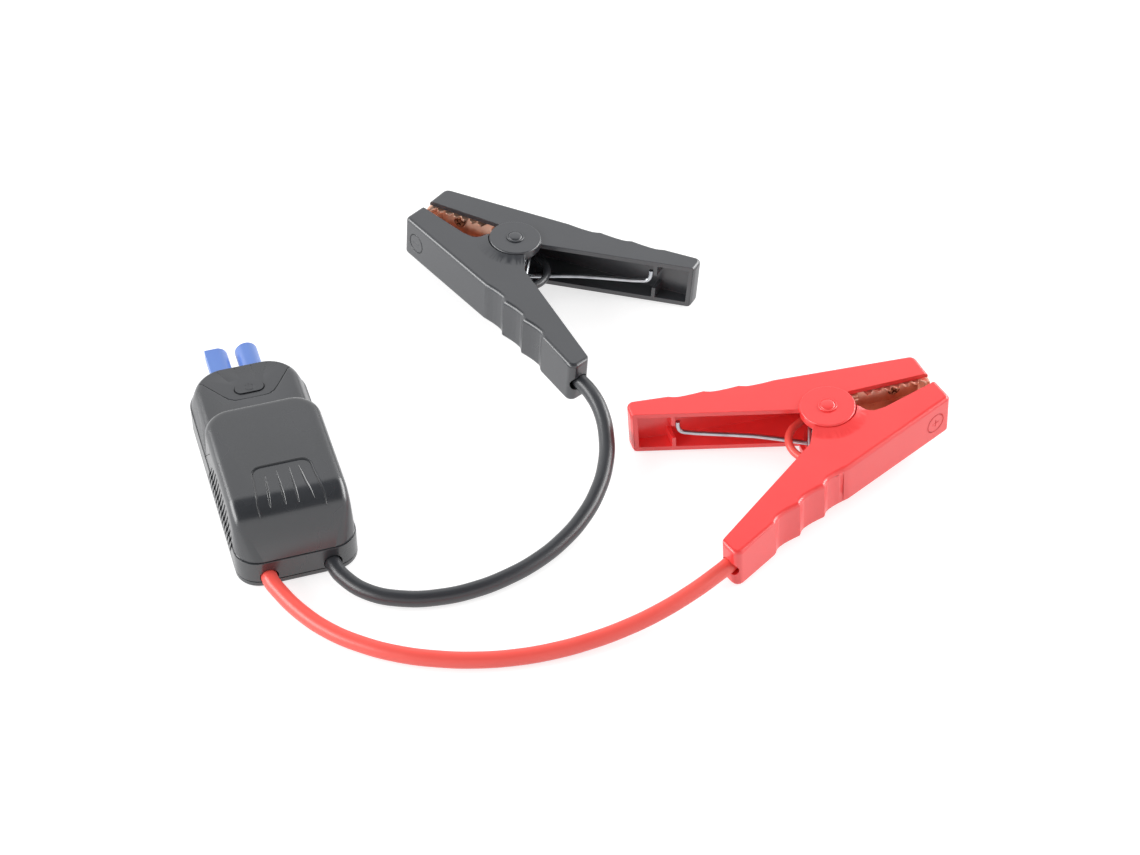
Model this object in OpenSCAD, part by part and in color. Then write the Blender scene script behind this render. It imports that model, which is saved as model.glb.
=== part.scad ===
// Smart jumper-cable set of a jump starter: a control box with a two-pole battery plug,
// a red and a black cable, and two spring clamps with copper jaws.
// Millimetres, +Z up. The origin is the centre of the control box's underside,
// +Y runs along the box towards its plug.

/* [Control box] */
// Length of the box without its plug
case_l = 104.8; // [98:0.4:112]
// Width of the lower shell
case_w = 46.8; // [45:0.2:52]
// Radius of the box's two upright corners at the cables
case_front_r = 9.5; // [8:0.5:11]
// Radius of the box's two upright corners at the plug
case_rear_r = 14; // [11:0.5:16]
// Thickness of the shells' walls
case_wall = 2.0; // [1.6:0.1:2.4]
// Height of the bottom cover
cover_h = 2.6; // [2.2:0.1:3.2]
// Height of the seam between the lower and the top shell
seam_z = 12.2; // [11.8:0.1:13]
// Step by which the top shell stands back from the lower shell
seam_step = 0.4; // [0.2:0.1:0.6]
// Height of the low tier that carries the button
tier_z = 20; // [19:0.5:21]
// Height of the hump over the relays
hump_z = 31; // [30:0.5:33]
// How far the hump's foot reaches towards the plug, from the middle
hump_reach = 18; // [16:0.5:20]
// Radius of the hump's long front slope
hump_front_r = 12.5; // [11:0.5:15]
// Radius of the hump's other top edges
hump_edge_r = 4; // [3:0.5:5]
// Radius of the low tier's top edge
tier_edge_r = 4; // [3:0.5:5]

/* [Boost button] */
// Length of the button across the box
button_l = 11.6; // [10:0.2:14]
// Width of the button
button_w = 5.4; // [4.6:0.2:6.4]
// Distance of the button from the box's plug end
button_inset = 15.8; // [15:0.2:18]
// Sideways place of the button and its panel
button_x = 0.4; // [-1:0.1:1]
// Travel of the button
button_travel = 0.5; // [0.3:0.1:0.6]
// Gap all round the button
button_gap = 0.35; // [0.25:0.05:0.5]
// Depth of the panel that the button sits in
panel_depth = 0.7; // [0.3:0.1:0.8]

/* [Side grips] */
// Width of one slanting groove
groove_w = 1.3; // [1:0.1:1.5]
// Depth of a groove
groove_depth = 0.8; // [0.5:0.1:1]
// Spacing of the grooves along the box
groove_pitch = 2.9; // [2.7:0.1:3.4]
// Grooves on each side
groove_count = 15; // [12:1:17]
// Lean of the grooves from upright
groove_lean = 34; // [28:1:45]

/* [Plug] */
// Outer diameter of one plug barrel
barrel_d = 9.2; // [9:0.1:9.6]
// Spacing of the two barrels
barrel_pitch = 12.2; // [12:0.1:13]
// Distance that the barrels stand out of the box
barrel_out = 17; // [15:0.2:20]
// Sideways place of the plug
plug_x = -1; // [-1.5:0.1:1.5]
// Height of the barrels' axis over the underside
plug_z = 10; // [9.6:0.1:10.4]
// Radius of the hole in a contact
contact_bore_r = 2.5; // [2.4:0.05:2.6]
// Wall of a contact
contact_wall = 0.9; // [0.7:0.1:1.1]
// Depth of a contact's mouth behind the barrel's end
contact_inset = 1.2; // [0.8:0.1:2]
// Length of a contact's hole
contact_depth = 17; // [14:0.5:18]

/* [Cables] */
// Outer diameter of a battery cable
cable_d = 6.3; // [5.6:0.1:6.6]
// Height of the cable holes' axis in the box's front wall
cable_exit_z = 4.9; // [4.7:0.1:5.2]
// Distance of each cable hole from the box's middle
cable_exit_x = 12.2; // [11:0.1:13.2]
// Gap all round a cable in its hole
cable_gap = 0.35; // [0.3:0.05:0.5]

/* [Clamp handles] */
// Thickness of the free half over its side plates
outer_t = 20.6; // [20:0.2:22]
// Thickness of the cable half over its side plates
inner_t = 18.8; // [18.4:0.2:19.4]
// Thickness of the handles' side plates
plate_t = 2.2; // [1.8:0.1:2.4]
// Thickness of the handles' back walls
back_t = 2.4; // [2:0.1:2.8]
// Distance from the pivot to the jaw tips
jaw_reach = 44; // [42:0.5:47]
// Distance from the pivot to the end of the free handle
handle_reach = 73; // [70:0.5:78]
// Radius of the round lugs at the pivot
lug_r = 10.9; // [10:0.1:11.4]
// Height of the lugs' raised discs
lug_raise = 1.3; // [1:0.1:1.8]
// Depth of the finger hollows of the free handle
grip_depth_outer = 0.9; // [0.5:0.1:1.2]
// Depth of the finger hollows of the cable handle
grip_depth_inner = 1.5; // [1:0.1:1.8]
// Finger hollows on each handle
grip_count = 3; // [2:1:4]

/* [Pivot] */
// Diameter of the pivot pin
pin_d = 6; // [5:0.1:6.4]
// Running clearance round the pin
pin_clearance = 0.06; // [0.02:0.01:0.1]
// Diameter of the pin's head
pin_head_d = 8; // [7:0.2:9]
// Height of the pin's head over the lug
pin_head_h = 0.8; // [0.4:0.1:1.2]
// Height of the push-on cap over the other lug
pin_cap_h = 3.2; // [2.9:0.1:3.6]

/* [Spring] */
// Diameter of the spring wire
wire_d = 1.8; // [1.6:0.1:2]
// Mean radius of the spring's coil
coil_r = 5.1; // [4.8:0.1:5.4]
// Rise of one turn of the coil
coil_pitch = 2.35; // [2.3:0.05:2.5]

/* [Copper jaws] */
// Thickness of the copper sheet
jaw_sheet = 1.0; // [0.8:0.1:1.2]
// Thickness of a jaw over its two flanges
jaw_t = 14.4; // [13.6:0.2:15]
// Depth of a jaw's base behind the handle's edge
jaw_depth = 6.2; // [5.6:0.1:6.6]
// Length of a jaw's toothed flanges
jaw_l = 25; // [22:0.5:27]
// Teeth on one flange
tooth_count = 6; // [5:1:8]
// Depth of a tooth
tooth_depth = 1.5; // [1:0.1:2]
// Diameter of the jaw screws
jaw_screw_d = 3.5; // [3:0.1:4]

/* [Hidden] */

shell_black = "#2e3033";
clamp_black = "#2c2d30";
clamp_red = "#e23a3c";
plug_blue = "#3f68c8";
copper = "#b9623f";
steel = "#c9ccd0";
brass = "#c8a14a";

big = 200;
overlap = 0.4;
round_fn = 64;

/* ---- Control box ---- */

top_w = case_w - 2 * seam_step;
top_l = case_l - 2 * seam_step;
cover_lip = 0.3;
lower_z = cover_h + cover_lip;
front_y = -case_l / 2;
rear_y = case_l / 2;
top_front_y = -top_l / 2;
panel_z = tier_z - panel_depth;
ceiling_t = case_wall + 0.4;
tier_inside_z = tier_z - ceiling_t;
hump_inside_z = hump_z - ceiling_t;
// How far the tier's and the hump's top edges stand in from the top shell's foot
tier_draft = 1.7;
hump_draft = 0.4;
button_y = rear_y - button_inset;

// Stretch of the hump's flat top, from its front slope to its rear edge
hump_front_axis_y = top_front_y + 5.6 + hump_front_r;
hump_rear_top_y = hump_reach - 2;

// A rectangle from y0 to y1 with round corners: radius rf at y0 and rr at y1
module rounded(w, y0, y1, rf, rr) {
    translate([-w / 2, y0 + rf]) square([w, y1 - y0 - rf - rr]);
    translate([rf - w / 2, y0]) square([w - 2 * rf, rf + 1]);
    translate([rr - w / 2, y1 - rr - 1]) square([w - 2 * rr, rr + 1]);
    for (sx = [-1, 1]) {
        translate([sx * (w / 2 - rf), y0 + rf]) circle(rf, $fn = round_fn);
        translate([sx * (w / 2 - rr), y1 - rr]) circle(rr, $fn = round_fn);
    }
}

// The box's own outline, moved in by d
module case_outline(d) {
    rounded(case_w - 2 * d, front_y + d, rear_y - d, case_front_r - d, case_rear_r - d);
}

// A ring of outer radius r whose edge is rounded by e
module ring(r, e) {
    rotate_extrude($fn = 36) intersection() {
        union() {
            translate([r - e, 0]) circle(e, $fn = 24);
            translate([0, -e]) square([r - e, 2 * e]);
        }
        translate([0, -e]) square([r, 2 * e]);
    }
}

// Keeps what lies over the shells' seam
module above_seam() {
    intersection() {
        translate([-big / 2, -big / 2, seam_z]) cube(big);
        children();
    }
}

// The low tier
module tier_form() {
    top_corner = case_rear_r - 0.6;
    above_seam() hull() {
        translate([0, 0, seam_z]) linear_extrude(0.5) case_outline(seam_step);
        for (sx = [-1, 1], y = [front_y + 12 + top_corner, rear_y - 0.2 - top_corner])
            translate([sx * (top_w / 2 - tier_draft - top_corner), y, tier_z - tier_edge_r])
                ring(top_corner, tier_edge_r);
    }
}

// The hump with its long front slope
hump_corner = case_front_r + 1.3;
hump_half = top_w / 2 - hump_draft;
module hump_form() {
    above_seam() hull() {
        translate([0, 0, seam_z]) linear_extrude(0.5)
            rounded(top_w, top_front_y, hump_reach, case_front_r, case_front_r);
        for (sx = [-1, 1]) {
            translate([sx * (hump_half - hump_edge_r), hump_front_axis_y, hump_z - hump_front_r])
                rotate([0, 90, 0]) ring(hump_front_r, hump_edge_r);
            translate([sx * (hump_half - hump_corner), hump_rear_top_y - hump_corner, hump_z - hump_edge_r])
                ring(hump_corner, hump_edge_r);
        }
    }
}

// Space inside the hump and the tier
module case_inside() {
    in_w = 2 * (hump_half - case_wall - 0.4);
    hump_rear_in = hump_rear_top_y - case_wall - 1;
    slope_y = hump_front_axis_y - hump_front_r;
    inside_r = 8;
    translate([0, 0, lower_z - 1]) linear_extrude(seam_z + 2.6 - lower_z)
        rounded(in_w, front_y + 4.6, hump_rear_in, inside_r, inside_r);
    translate([0, 0, seam_z]) linear_extrude(hump_z - hump_front_r + 3 - seam_z)
        rounded(in_w, slope_y + case_wall + 0.6, hump_rear_in, inside_r, inside_r);
    translate([0, 0, seam_z]) linear_extrude(hump_inside_z - seam_z)
        rounded(in_w - 2, hump_front_axis_y - 3, hump_rear_in - 2, inside_r, inside_r);
    rear_in = rear_y - seam_step - case_wall - 1.4;
    translate([0, 0, lower_z - 1]) linear_extrude(tier_inside_z - lower_z + 1)
        rounded(2 * (top_w / 2 - tier_draft - case_wall - 0.5), -10, rear_in, inside_r, inside_r);
}

// Side panels of the lower shell: they rise into the hump's sides and hold the grip grooves
panel_top_z = hump_z - hump_edge_r - 1;
panel_rear_y = hump_reach - 7;
function side_panel(grow) = [
    [panel_rear_y + grow, seam_z - 0.6],
    [panel_rear_y + grow, seam_z],
    [panel_rear_y - 14 + grow, panel_top_z + grow],
    [hump_front_axis_y + 2 - grow, panel_top_z + grow],
    [hump_front_axis_y - 4 - grow, panel_top_z - 3 + grow],
    [front_y + 9 - grow, seam_z],
    [front_y + 9 - grow, seam_z - 0.6]];

module side_panels(grow) {
    for (side = [-1, 1])
        translate([side * (case_w / 2 - 1.9), 0, 0])
            rotate([90, 0, 90]) linear_extrude(3.8 + 2 * grow, center = true) polygon(side_panel(grow));
}

// Slanting grooves that make each side panel easy to hold
module grip_grooves() {
    groove_l = 40;
    first_y = panel_rear_y - 14.3;
    intersection() {
        for (side = [-1, 1], i = [0 : groove_count - 1])
            translate([side * case_w / 2, first_y - i * groove_pitch, (seam_z + panel_top_z) / 2])
                rotate([groove_lean, 0, 0]) cube([2 * (groove_depth + hump_draft), groove_w, groove_l], center = true);
        rotate([90, 0, 90]) linear_extrude(case_w + 10, center = true) polygon([
            [panel_rear_y - 3.5, lower_z + 1.2],
            [panel_rear_y - 15, tier_z],
            [panel_rear_y - 24, panel_top_z - 1.3],
            [hump_front_axis_y + 1.5, panel_top_z - 1.3],
            [hump_front_axis_y - 3.8, panel_top_z - 5.8],
            [front_y + 11.4, seam_z + 1],
            [front_y + 16.5, lower_z + 1.2]]);
    }
}

// Trapezoid panel round the button, open towards the plug
panel_front_y = button_y - 5.7;
module button_panel() {
    round_r = 1.4;
    half_front = button_l / 2 + 1.9;
    flare = 0.7;
    reach = rear_y - panel_front_y;
    translate([button_x, 0, panel_z]) linear_extrude(big) translate([0, panel_front_y]) polygon([
        [round_r - half_front, 0], [half_front - round_r, 0],
        [half_front - 0.4, 0.25], [half_front + 0.2, round_r * 0.6], [half_front + 0.4 + flare * round_r, round_r],
        [half_front + flare * reach, reach], [-half_front - flare * reach, reach],
        [-half_front - 0.4 - flare * round_r, round_r], [-half_front - 0.2, round_r * 0.6], [0.4 - half_front, 0.25]]);
}

module stadium(l, w) {
    square([l - w, w], center = true);
    for (sx = [-1, 1])
        translate([sx * (l - w) / 2, 0]) circle(w / 2, $fn = 48);
}

// Three screw posts: one between the cables, two under the low tier
screw_x = case_w / 2 - 5.6;
screw_front_y = front_y + 8.8;
screw_rear_y = rear_y - 15;
screw_r = 1.3;
screw_head_r = 2.6;
screw_head_h = 1.3;
post_r = 3;
screw_len = 14;
module at_screws() {
    for (at = [[0, screw_front_y], [-screw_x, screw_rear_y], [screw_x, screw_rear_y]])
        translate(at) children();
}

plug_block_w = barrel_pitch + barrel_d + 2;
plug_block_h = barrel_d + 2.2;
plug_block_l = 7;
plug_flange = 1.4;
plug_gap = 0.15;

module plug_hole() {
    translate([plug_x, rear_y, plug_z])
        cube([barrel_pitch + barrel_d + 2 * plug_gap, 2 * (plug_block_l - plug_flange),
            barrel_d + 2 * plug_gap], center = true);
}

module cable_holes() {
    for (sx = [-1, 1])
        translate([sx * cable_exit_x, front_y - 1, cable_exit_z]) rotate([-90, 0, 0])
            cylinder(h = 24, r = cable_d / 2 + cable_gap, $fn = 48);
}

module top_shell() {
    color(shell_black) {
        difference() {
            union() {
                tier_form();
                hump_form();
            }
            difference() {
                case_inside();
                at_screws() cylinder(h = big, r = post_r, $fn = 32);
            }
            side_panels(0.12);
            button_panel();
            translate([button_x, button_y, 0])
                linear_extrude(big) stadium(button_l + 2 * button_gap, button_w + 2 * button_gap);
            plug_hole();
            at_screws() translate([0, 0, screw_head_h])
                cylinder(h = screw_len + 0.6, r = screw_r + 0.03, $fn = 24);
        }
    }
}

module lower_shell() {
    color(shell_black) difference() {
        union() {
            difference() {
                translate([0, 0, lower_z]) linear_extrude(seam_z - lower_z) case_outline(0);
                translate([0, 0, lower_z - 1]) linear_extrude(seam_z - lower_z + 2) case_outline(case_wall);
            }
            difference() {
                intersection() {
                    hump_form();
                    side_panels(0);
                }
                case_inside();
            }
            at_screws() translate([0, 0, lower_z]) cylinder(h = seam_z - lower_z, r = post_r + 0.4, $fn = 32);
            // webs that join the posts to the walls
            translate([-1.2, front_y + 0.5, lower_z]) cube([2.4, screw_front_y - post_r - front_y, seam_z - lower_z]);
            for (sx = [-1, 1]) translate([sx * (screw_x + 2.4), screw_rear_y, (seam_z + lower_z) / 2])
                cube([4.8, 2.4, seam_z - lower_z], center = true);
        }
        at_screws() cylinder(h = big, r = screw_r + 0.2, $fn = 24);
        cable_holes();
        plug_hole();
        grip_grooves();
    }
}

board_z = 6.9;
board_t = 1.6;
board_front_y = front_y + 22;
board_half = case_w / 2 - 6.4;
board_rear_y = screw_rear_y - 7;
tongue_half = barrel_pitch / 2 + 3.6;
board_tongue_y = rear_y - case_wall - plug_block_l - 1;
standoff_x = 13;
standoff_y = 22;

module bottom_cover() {
    color(shell_black) difference() {
        union() {
            linear_extrude(cover_h) case_outline(0);
            linear_extrude(lower_z) case_outline(0.5);
            for (sx = [-1, 1], sy = [-1, 1])
                translate([sx * standoff_x, sy * standoff_y, 0]) cylinder(h = board_z, r = 2.2, $fn = 32);
        }
        cable_holes();
        at_screws() {
            cylinder(h = big, r = screw_r + 0.2, $fn = 24);
            translate([0, 0, -1]) cylinder(h = screw_head_h + 1, r = screw_head_r + 0.2, $fn = 32);
        }
    }
}

module case_screws() {
    color(steel) at_screws() difference() {
        union() {
            translate([0, 0, 0.2]) cylinder(h = screw_head_h - 0.2, r = screw_head_r, $fn = 32);
            cylinder(h = screw_len, r = screw_r, $fn = 24);
        }
        for (turn = [0, 90]) rotate(turn) cube([3, 0.7, 1.2], center = true);
    }
}

button_stem_z = tier_inside_z - 1.9;
module boost_button() {
    flange = 0.9;
    color(shell_black) translate([button_x, button_y, 0]) {
        translate([0, 0, tier_inside_z - 0.1])
            linear_extrude(tier_z - 0.1 - tier_inside_z) stadium(button_l, button_w);
        translate([0, 0, tier_inside_z - 0.9])
            linear_extrude(0.8) stadium(button_l + 2 * flange, button_w + 2 * flange);
        translate([0, 0, button_stem_z]) cylinder(h = 1.2, r = 1.6, $fn = 32);
    }
}

module tact_switch() {
    body_z = board_z + board_t;
    plunger_z = button_stem_z - button_travel - 0.15;
    color("#303030") translate([button_x, button_y, 0]) {
        translate([-3, -3, body_z]) cube([6, 6, plunger_z - 0.9 - body_z]);
        translate([0, 0, body_z]) cylinder(h = plunger_z - body_z, r = 1.7, $fn = 32);
    }
}

module circuit_board() {
    color("#1f5b3a") translate([0, 0, board_z]) linear_extrude(board_t) polygon([
        [-board_half, board_front_y], [board_half, board_front_y], [board_half, board_rear_y],
        [tongue_half, board_rear_y], [tongue_half, board_tongue_y], [-tongue_half, board_tongue_y],
        [-tongue_half, board_rear_y], [-board_half, board_rear_y]]);
}

relay_l = 19;
relay_gap = 1.2;
relay_w = board_half - relay_gap / 2 - 1.2;
relay_h = hump_inside_z - board_z - board_t - 3;
relay_y = board_front_y + 14;
module relays() {
    color("#26282b") for (sx = [-1, 1])
        translate([sx * (relay_w + relay_gap) / 2, relay_y + relay_l / 2, board_z + board_t + relay_h / 2])
            cube([relay_w, relay_l, relay_h], center = true);
}

module capacitor() {
    color("#26335c") translate([0, board_front_y + 5.4, board_z + board_t]) cylinder(h = 11, r = 4, $fn = 48);
}

// A grooved bar that grips both cables inside the front wall
saddle_y = front_y + 13;
saddle_l = 5;
saddle_wall = 2.1;
saddle_half = cable_exit_x + cable_d / 2 + saddle_wall;
module cable_saddle() {
    color("#3a3c40") difference() {
        translate([-saddle_half, saddle_y, lower_z]) cube([2 * saddle_half, saddle_l, cable_d]);
        for (sx = [-1, 1])
            translate([sx * cable_exit_x, saddle_y - 1, cable_exit_z]) rotate([-90, 0, 0])
                cylinder(h = saddle_l + 2, r = cable_d / 2 + 0.1, $fn = 48);
    }
}

// Both poles of the plug: one round barrel, one with a square upper corner that keys it
plug_back_y = rear_y - case_wall - plug_block_l;
barrel_tip_y = rear_y + barrel_out;
contact_r = contact_bore_r + contact_wall;
module plug_housing() {
    color(plug_blue) difference() {
        union() {
            translate([plug_x, plug_back_y + 2.4, plug_z])
                cube([plug_block_w, 4.8, plug_block_h], center = true);
            for (sx = [-1, 1])
                translate([plug_x + sx * barrel_pitch / 2, plug_back_y, plug_z]) rotate([-90, 0, 0])
                    cylinder(h = barrel_tip_y - plug_back_y, r = barrel_d / 2, $fn = round_fn);
            translate([plug_x - (barrel_pitch + barrel_d) / 2, plug_back_y, plug_z])
                cube([barrel_d / 2, barrel_tip_y - plug_back_y, barrel_d / 2]);
        }
        for (sx = [-1, 1])
            translate([plug_x + sx * barrel_pitch / 2, plug_back_y - 1, plug_z]) rotate([-90, 0, 0])
                cylinder(h = big, r = contact_r + 0.05, $fn = round_fn);
    }
}

contact_mouth_y = barrel_tip_y - contact_inset;
module plug_contacts() {
    color(brass) for (sx = [-1, 1])
        translate([plug_x + sx * barrel_pitch / 2, plug_back_y - 0.6, plug_z]) rotate([-90, 0, 0]) difference() {
            union() {
                cylinder(h = contact_mouth_y - plug_back_y + 0.6, r = contact_r, $fn = round_fn);
                translate([0, 0, -3.4]) cylinder(h = 4, r = 1.2, $fn = 32);
            }
            translate([0, 0, contact_mouth_y - plug_back_y + 0.6 - contact_depth])
                cylinder(h = contact_depth + 1, r = contact_bore_r, $fn = round_fn);
        }
}

/* ---- Clamps: drawn lying on their side, the pivot at the origin, handles towards +X ---- */

outer_half = outer_t / 2;
inner_half = inner_t / 2;
outer_inside = outer_half - plate_t;
inner_inside = inner_half - plate_t;
lug_gap = 0.25;
ear_top = outer_inside - lug_gap;
ear_t = 2;
ear_r = 9.4;
recess_r = lug_r + 0.35;
cone_r = 16.4;
cone_z = outer_half + lug_raise - 0.6;
cone_slope = (cone_r - recess_r) / (cone_z - inner_half);

// Where each clamp lies: pivot height, place and turn on the floor
pivot_z = outer_half + lug_raise + pin_cap_h + 0.3;
black_at = [124.4, 87.0];
black_turn = -44.9;
black_tilt = 3.7;
red_at = [211.9, -48.7];
red_turn = -1.1;
red_tilt = 4.3;
red_tilt_axis = [1.25, -4.1, 0];

module at_black() {
    translate([black_at[0], black_at[1], pivot_z])
        rotate([0, black_tilt, 0]) rotate([0, 0, black_turn]) children();
}

module at_red() {
    translate([red_at[0], red_at[1], pivot_z])
        rotate(a = red_tilt, v = red_tilt_axis) rotate([0, 0, red_turn]) mirror([1, 0, 0]) children();
}

// Depth of a finger hollow along its length t, 0 to 1: it deepens slowly and ends in a step
function hollow(t) = t < 0.72 ? sin(90 * t / 0.72) : cos(90 * (t - 0.72) / 0.28);
hollow_steps = [0, 0.18, 0.36, 0.54, 0.72, 0.8, 0.88, 0.95];
// Points of a row of n hollows from p to q, pressed in along the direction into
function grips(p, q, n, depth, into) = [
    for (i = [0 : n - 1], t = hollow_steps)
        p + (q - p) * (i + t) / n + into * depth * hollow(t)];
function reversed(a) = [for (i = [len(a) - 1 : -1 : 0]) a[i]];
// Points of a round corner of radius r at c, from angle a to b
function corner(c, r, a, b) = [for (k = [0 : 4]) c + r * [cos(a + (b - a) * k / 4), sin(a + (b - a) * k / 4)]];

// Free half, seen on its side plate
tip_x = -jaw_reach;
end_x = handle_reach;
back_from = [14, 22.5];
back_to = [56, 28];
back_slope = (back_to[1] - back_from[1]) / (back_to[0] - back_from[0]);
tip_back_y = back_from[1] + (tip_x + 2 - back_from[0]) * 0.11;
edge_y = 4.6;
edge_turn = 2.1;
mouth_end = [72.4, 22.2];
outer_outline = concat(
    [[tip_x + 0.3, edge_y], [-lug_r, edge_y + 1.2], [0, 0], [lug_r - 0.2, 3.0], mouth_end],
    [[end_x, mouth_end[1] + 1.4]],
    corner([end_x - 2.9, 27.2], 2.9, 0, 84),
    reversed(grips(back_from, back_to, grip_count, grip_depth_outer, [0.13, -0.99])),
    corner([tip_x + 4.4, tip_back_y - 2.9], 3, 98, 172));

// Points at u, v of a jaw, in the clamp's own place
outer_edge_at = [tip_x + 0.3, edge_y];
function outer_at(u, v) = outer_edge_at
    + [u * cos(edge_turn) - v * sin(edge_turn), u * sin(edge_turn) + v * cos(edge_turn)];
function inner_at(u, v) = inner_tip
    + [u * cos(inner_turn) + v * sin(inner_turn), u * sin(inner_turn) - v * cos(inner_turn)];

// Space inside the free half, open towards the cable half; its end wall is low under the jaw's tip
outer_pocket = [
    outer_at(-4, -20), outer_at(-4, 1.15), outer_at(2.2, 2.4), outer_at(2.2, 8.3),
    [back_from[0], back_from[1] - back_t - 0.8], [back_to[0], back_to[1] - back_t - 1.2],
    [end_x - back_t - 1, 27.2 - 0.6], [end_x - back_t, 25], [end_x - back_t, -30]];

module jaw_post(u, base_v, from_v) {
    translate([u, from_v, 0]) rotate([90, 0, 0])
        cylinder(h = from_v - base_v, r = 3.6, $fn = 32);
}

jaw_screw_u = 12;
jaw_back = jaw_depth + jaw_sheet;
jaw_post_gap = 0.05;

rib_x = 57.4;
rib_t = 1.5;

module outer_handle() {
    difference() {
        union() {
            linear_extrude(outer_t, center = true) polygon(outer_outline);
            cylinder(h = outer_t + 2 * lug_raise, r = lug_r, center = true, $fn = round_fn);
        }
        difference() {
            linear_extrude(2 * outer_inside, center = true) polygon(outer_pocket);
            // ribs that hold the spring's leg
            for (side = [-1, 1])
                translate([rib_x, 19, side * (outer_inside / 2 + 1.7)])
                    cube([rib_t, 24, outer_inside - 3.4 + 0.2], center = true);
            // boss under the copper jaw
            translate(outer_edge_at) rotate(edge_turn)
                jaw_post(jaw_screw_u, jaw_back + jaw_post_gap, 20);
        }
        cylinder(h = outer_t + 10, r = pin_d / 2 + pin_clearance, center = true, $fn = round_fn);
        translate(outer_edge_at) rotate(edge_turn) translate([jaw_screw_u, 0, 0]) rotate([-90, 0, 0])
            cylinder(h = jaw_back + 3.4, r = jaw_screw_d / 2 + 0.05, $fn = 24);
    }
}

// Cable half, seen on its side plate
inner_tip = [tip_x - 1.3, 0.7];
inner_turn = -15.9;
front_tip = [tip_x - 3.6, -9.7];
front_from = [3, -31.5];
front_to = [39, -49];
inner_end_a = [60.4, -50.0];
inner_end_b = [56.4, -58.4];
notch_to = [-21.5, -6.1];
inner_outline = concat(
    [inner_tip, notch_to, [-17, -6.5], [-13.6, -5.2], [-11, -2.6], [0, 0], [8.8, -7.5],
        [12.6, -14.8]],
    corner(inner_end_a + [-2.2, -1.6], 2.4, 40, -20),
    corner(inner_end_b + [0, 3], 3, -20, -118),
    reversed(grips(front_from, front_to, grip_count, grip_depth_inner, [0.44, 0.9])),
    corner(front_tip + [2.9, 1.6], 2.4, 245, 175));

// Space inside the cable half, open towards the free half
inner_pocket = [
    inner_at(-4, -60), inner_at(-4, 1.15), inner_at(2.2, 2.4), inner_at(2.2, 8.7), front_from + [0.6, back_t + 1.7],
    front_to + [1.4, back_t + 2.4], inner_end_b + [-1.2, 4.4], inner_end_a + [-4.8, 0.6],
    [40, 0], [40, 40]];

cable_hole_at = [58.2, -53.6];
cable_hole_turn = -40;
inner_post_v = 16;

module inner_handle() {
    difference() {
        union() {
            difference() {
                union() {
                    linear_extrude(inner_t, center = true) polygon(inner_outline);
                    // low cone round the lug's recess
                    intersection() {
                        linear_extrude(3 * inner_t, center = true) polygon(inner_outline);
                        for (side = [0, 1]) mirror([0, 0, side])
                            translate([0, 0, inner_half - overlap])
                                cylinder(h = cone_z - inner_half + overlap,
                                    r1 = cone_r + overlap * cone_slope, r2 = recess_r, $fn = round_fn);
                    }
                }
                difference() {
                    linear_extrude(2 * inner_inside, center = true) polygon(inner_pocket);
                    translate(inner_tip) rotate(inner_turn) mirror([0, 1, 0])
                        jaw_post(jaw_screw_u, jaw_back + jaw_post_gap, inner_post_v);
                }
                for (side = [0, 1]) mirror([0, 0, side])
                    translate([0, 0, ear_top]) cylinder(h = big, r = recess_r, $fn = round_fn);
            }
            // ears under the lugs
            for (side = [0, 1]) mirror([0, 0, side])
                translate([0, 0, ear_top - ear_t]) {
                    cylinder(h = ear_t, r = ear_r, $fn = round_fn);
                    linear_extrude(ear_t) intersection() {
                        circle(recess_r + 1.6, $fn = round_fn);
                        polygon(inner_outline);
                    }
                }
        }
        linear_extrude(2 * (ear_top - ear_t), center = true) circle(recess_r, $fn = round_fn);
        cylinder(h = outer_t + 10, r = pin_d / 2 + pin_clearance, center = true, $fn = round_fn);
        translate([cable_hole_at[0], cable_hole_at[1], cable_drop]) rotate([0, 90, cable_hole_turn])
            translate([0, 0, -15]) cylinder(h = 26, r = cable_d / 2 + cable_gap, $fn = 48);
        translate([cable_hole_at[0] - 0.7, cable_hole_at[1] - 1.5, cable_drop]) rotate([0, 90, cable_hole_turn])
            translate([0, 0, -5]) cylinder(h = 16, r = cable_d / 2 - 0.2, $fn = 48);
        translate(inner_tip) rotate(inner_turn) translate([jaw_screw_u, 0, 0]) rotate([90, 0, 0])
            cylinder(h = jaw_back + 3.4, r = jaw_screw_d / 2 + 0.05, $fn = 24);
    }
}
cable_drop = -0.6;

// A stamped copper jaw: u along the handle's edge, v into the handle
tooth_pitch = (jaw_l - 2) / tooth_count;
wall_u = 2.4;
jaw_edge_v = -0.9;
jaw_tip_v = -1.75;
module jaw() {
    flange = concat(
        [[wall_u, jaw_back], [wall_u, 2.2], [-0.3, 1.2], [-0.3, jaw_tip_v], [0.9, jaw_tip_v]],
        [for (i = [0 : tooth_count - 1], k = [0 : 3])
            [1.6 + tooth_pitch * (i + [0, 0.3, 0.5, 0.7][k]), jaw_edge_v + tooth_depth * [0, 1, 1, 0][k]]],
        [[jaw_l, jaw_edge_v], [jaw_l + 3, jaw_depth], [jaw_l + 3, jaw_back]]);
    difference() {
        linear_extrude(jaw_t, center = true) polygon(flange);
        linear_extrude(jaw_t - 2 * jaw_sheet, center = true) polygon([
            [wall_u + jaw_sheet, jaw_depth], [wall_u + jaw_sheet, 1.6], [0.7, 0.5], [0.7, -big],
            [big, -big], [big, jaw_depth]]);
        translate([jaw_screw_u, 0, 0]) rotate([-90, 0, 0])
            cylinder(h = big, r = jaw_screw_d / 2 + 0.15, $fn = 24);
    }
}

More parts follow.
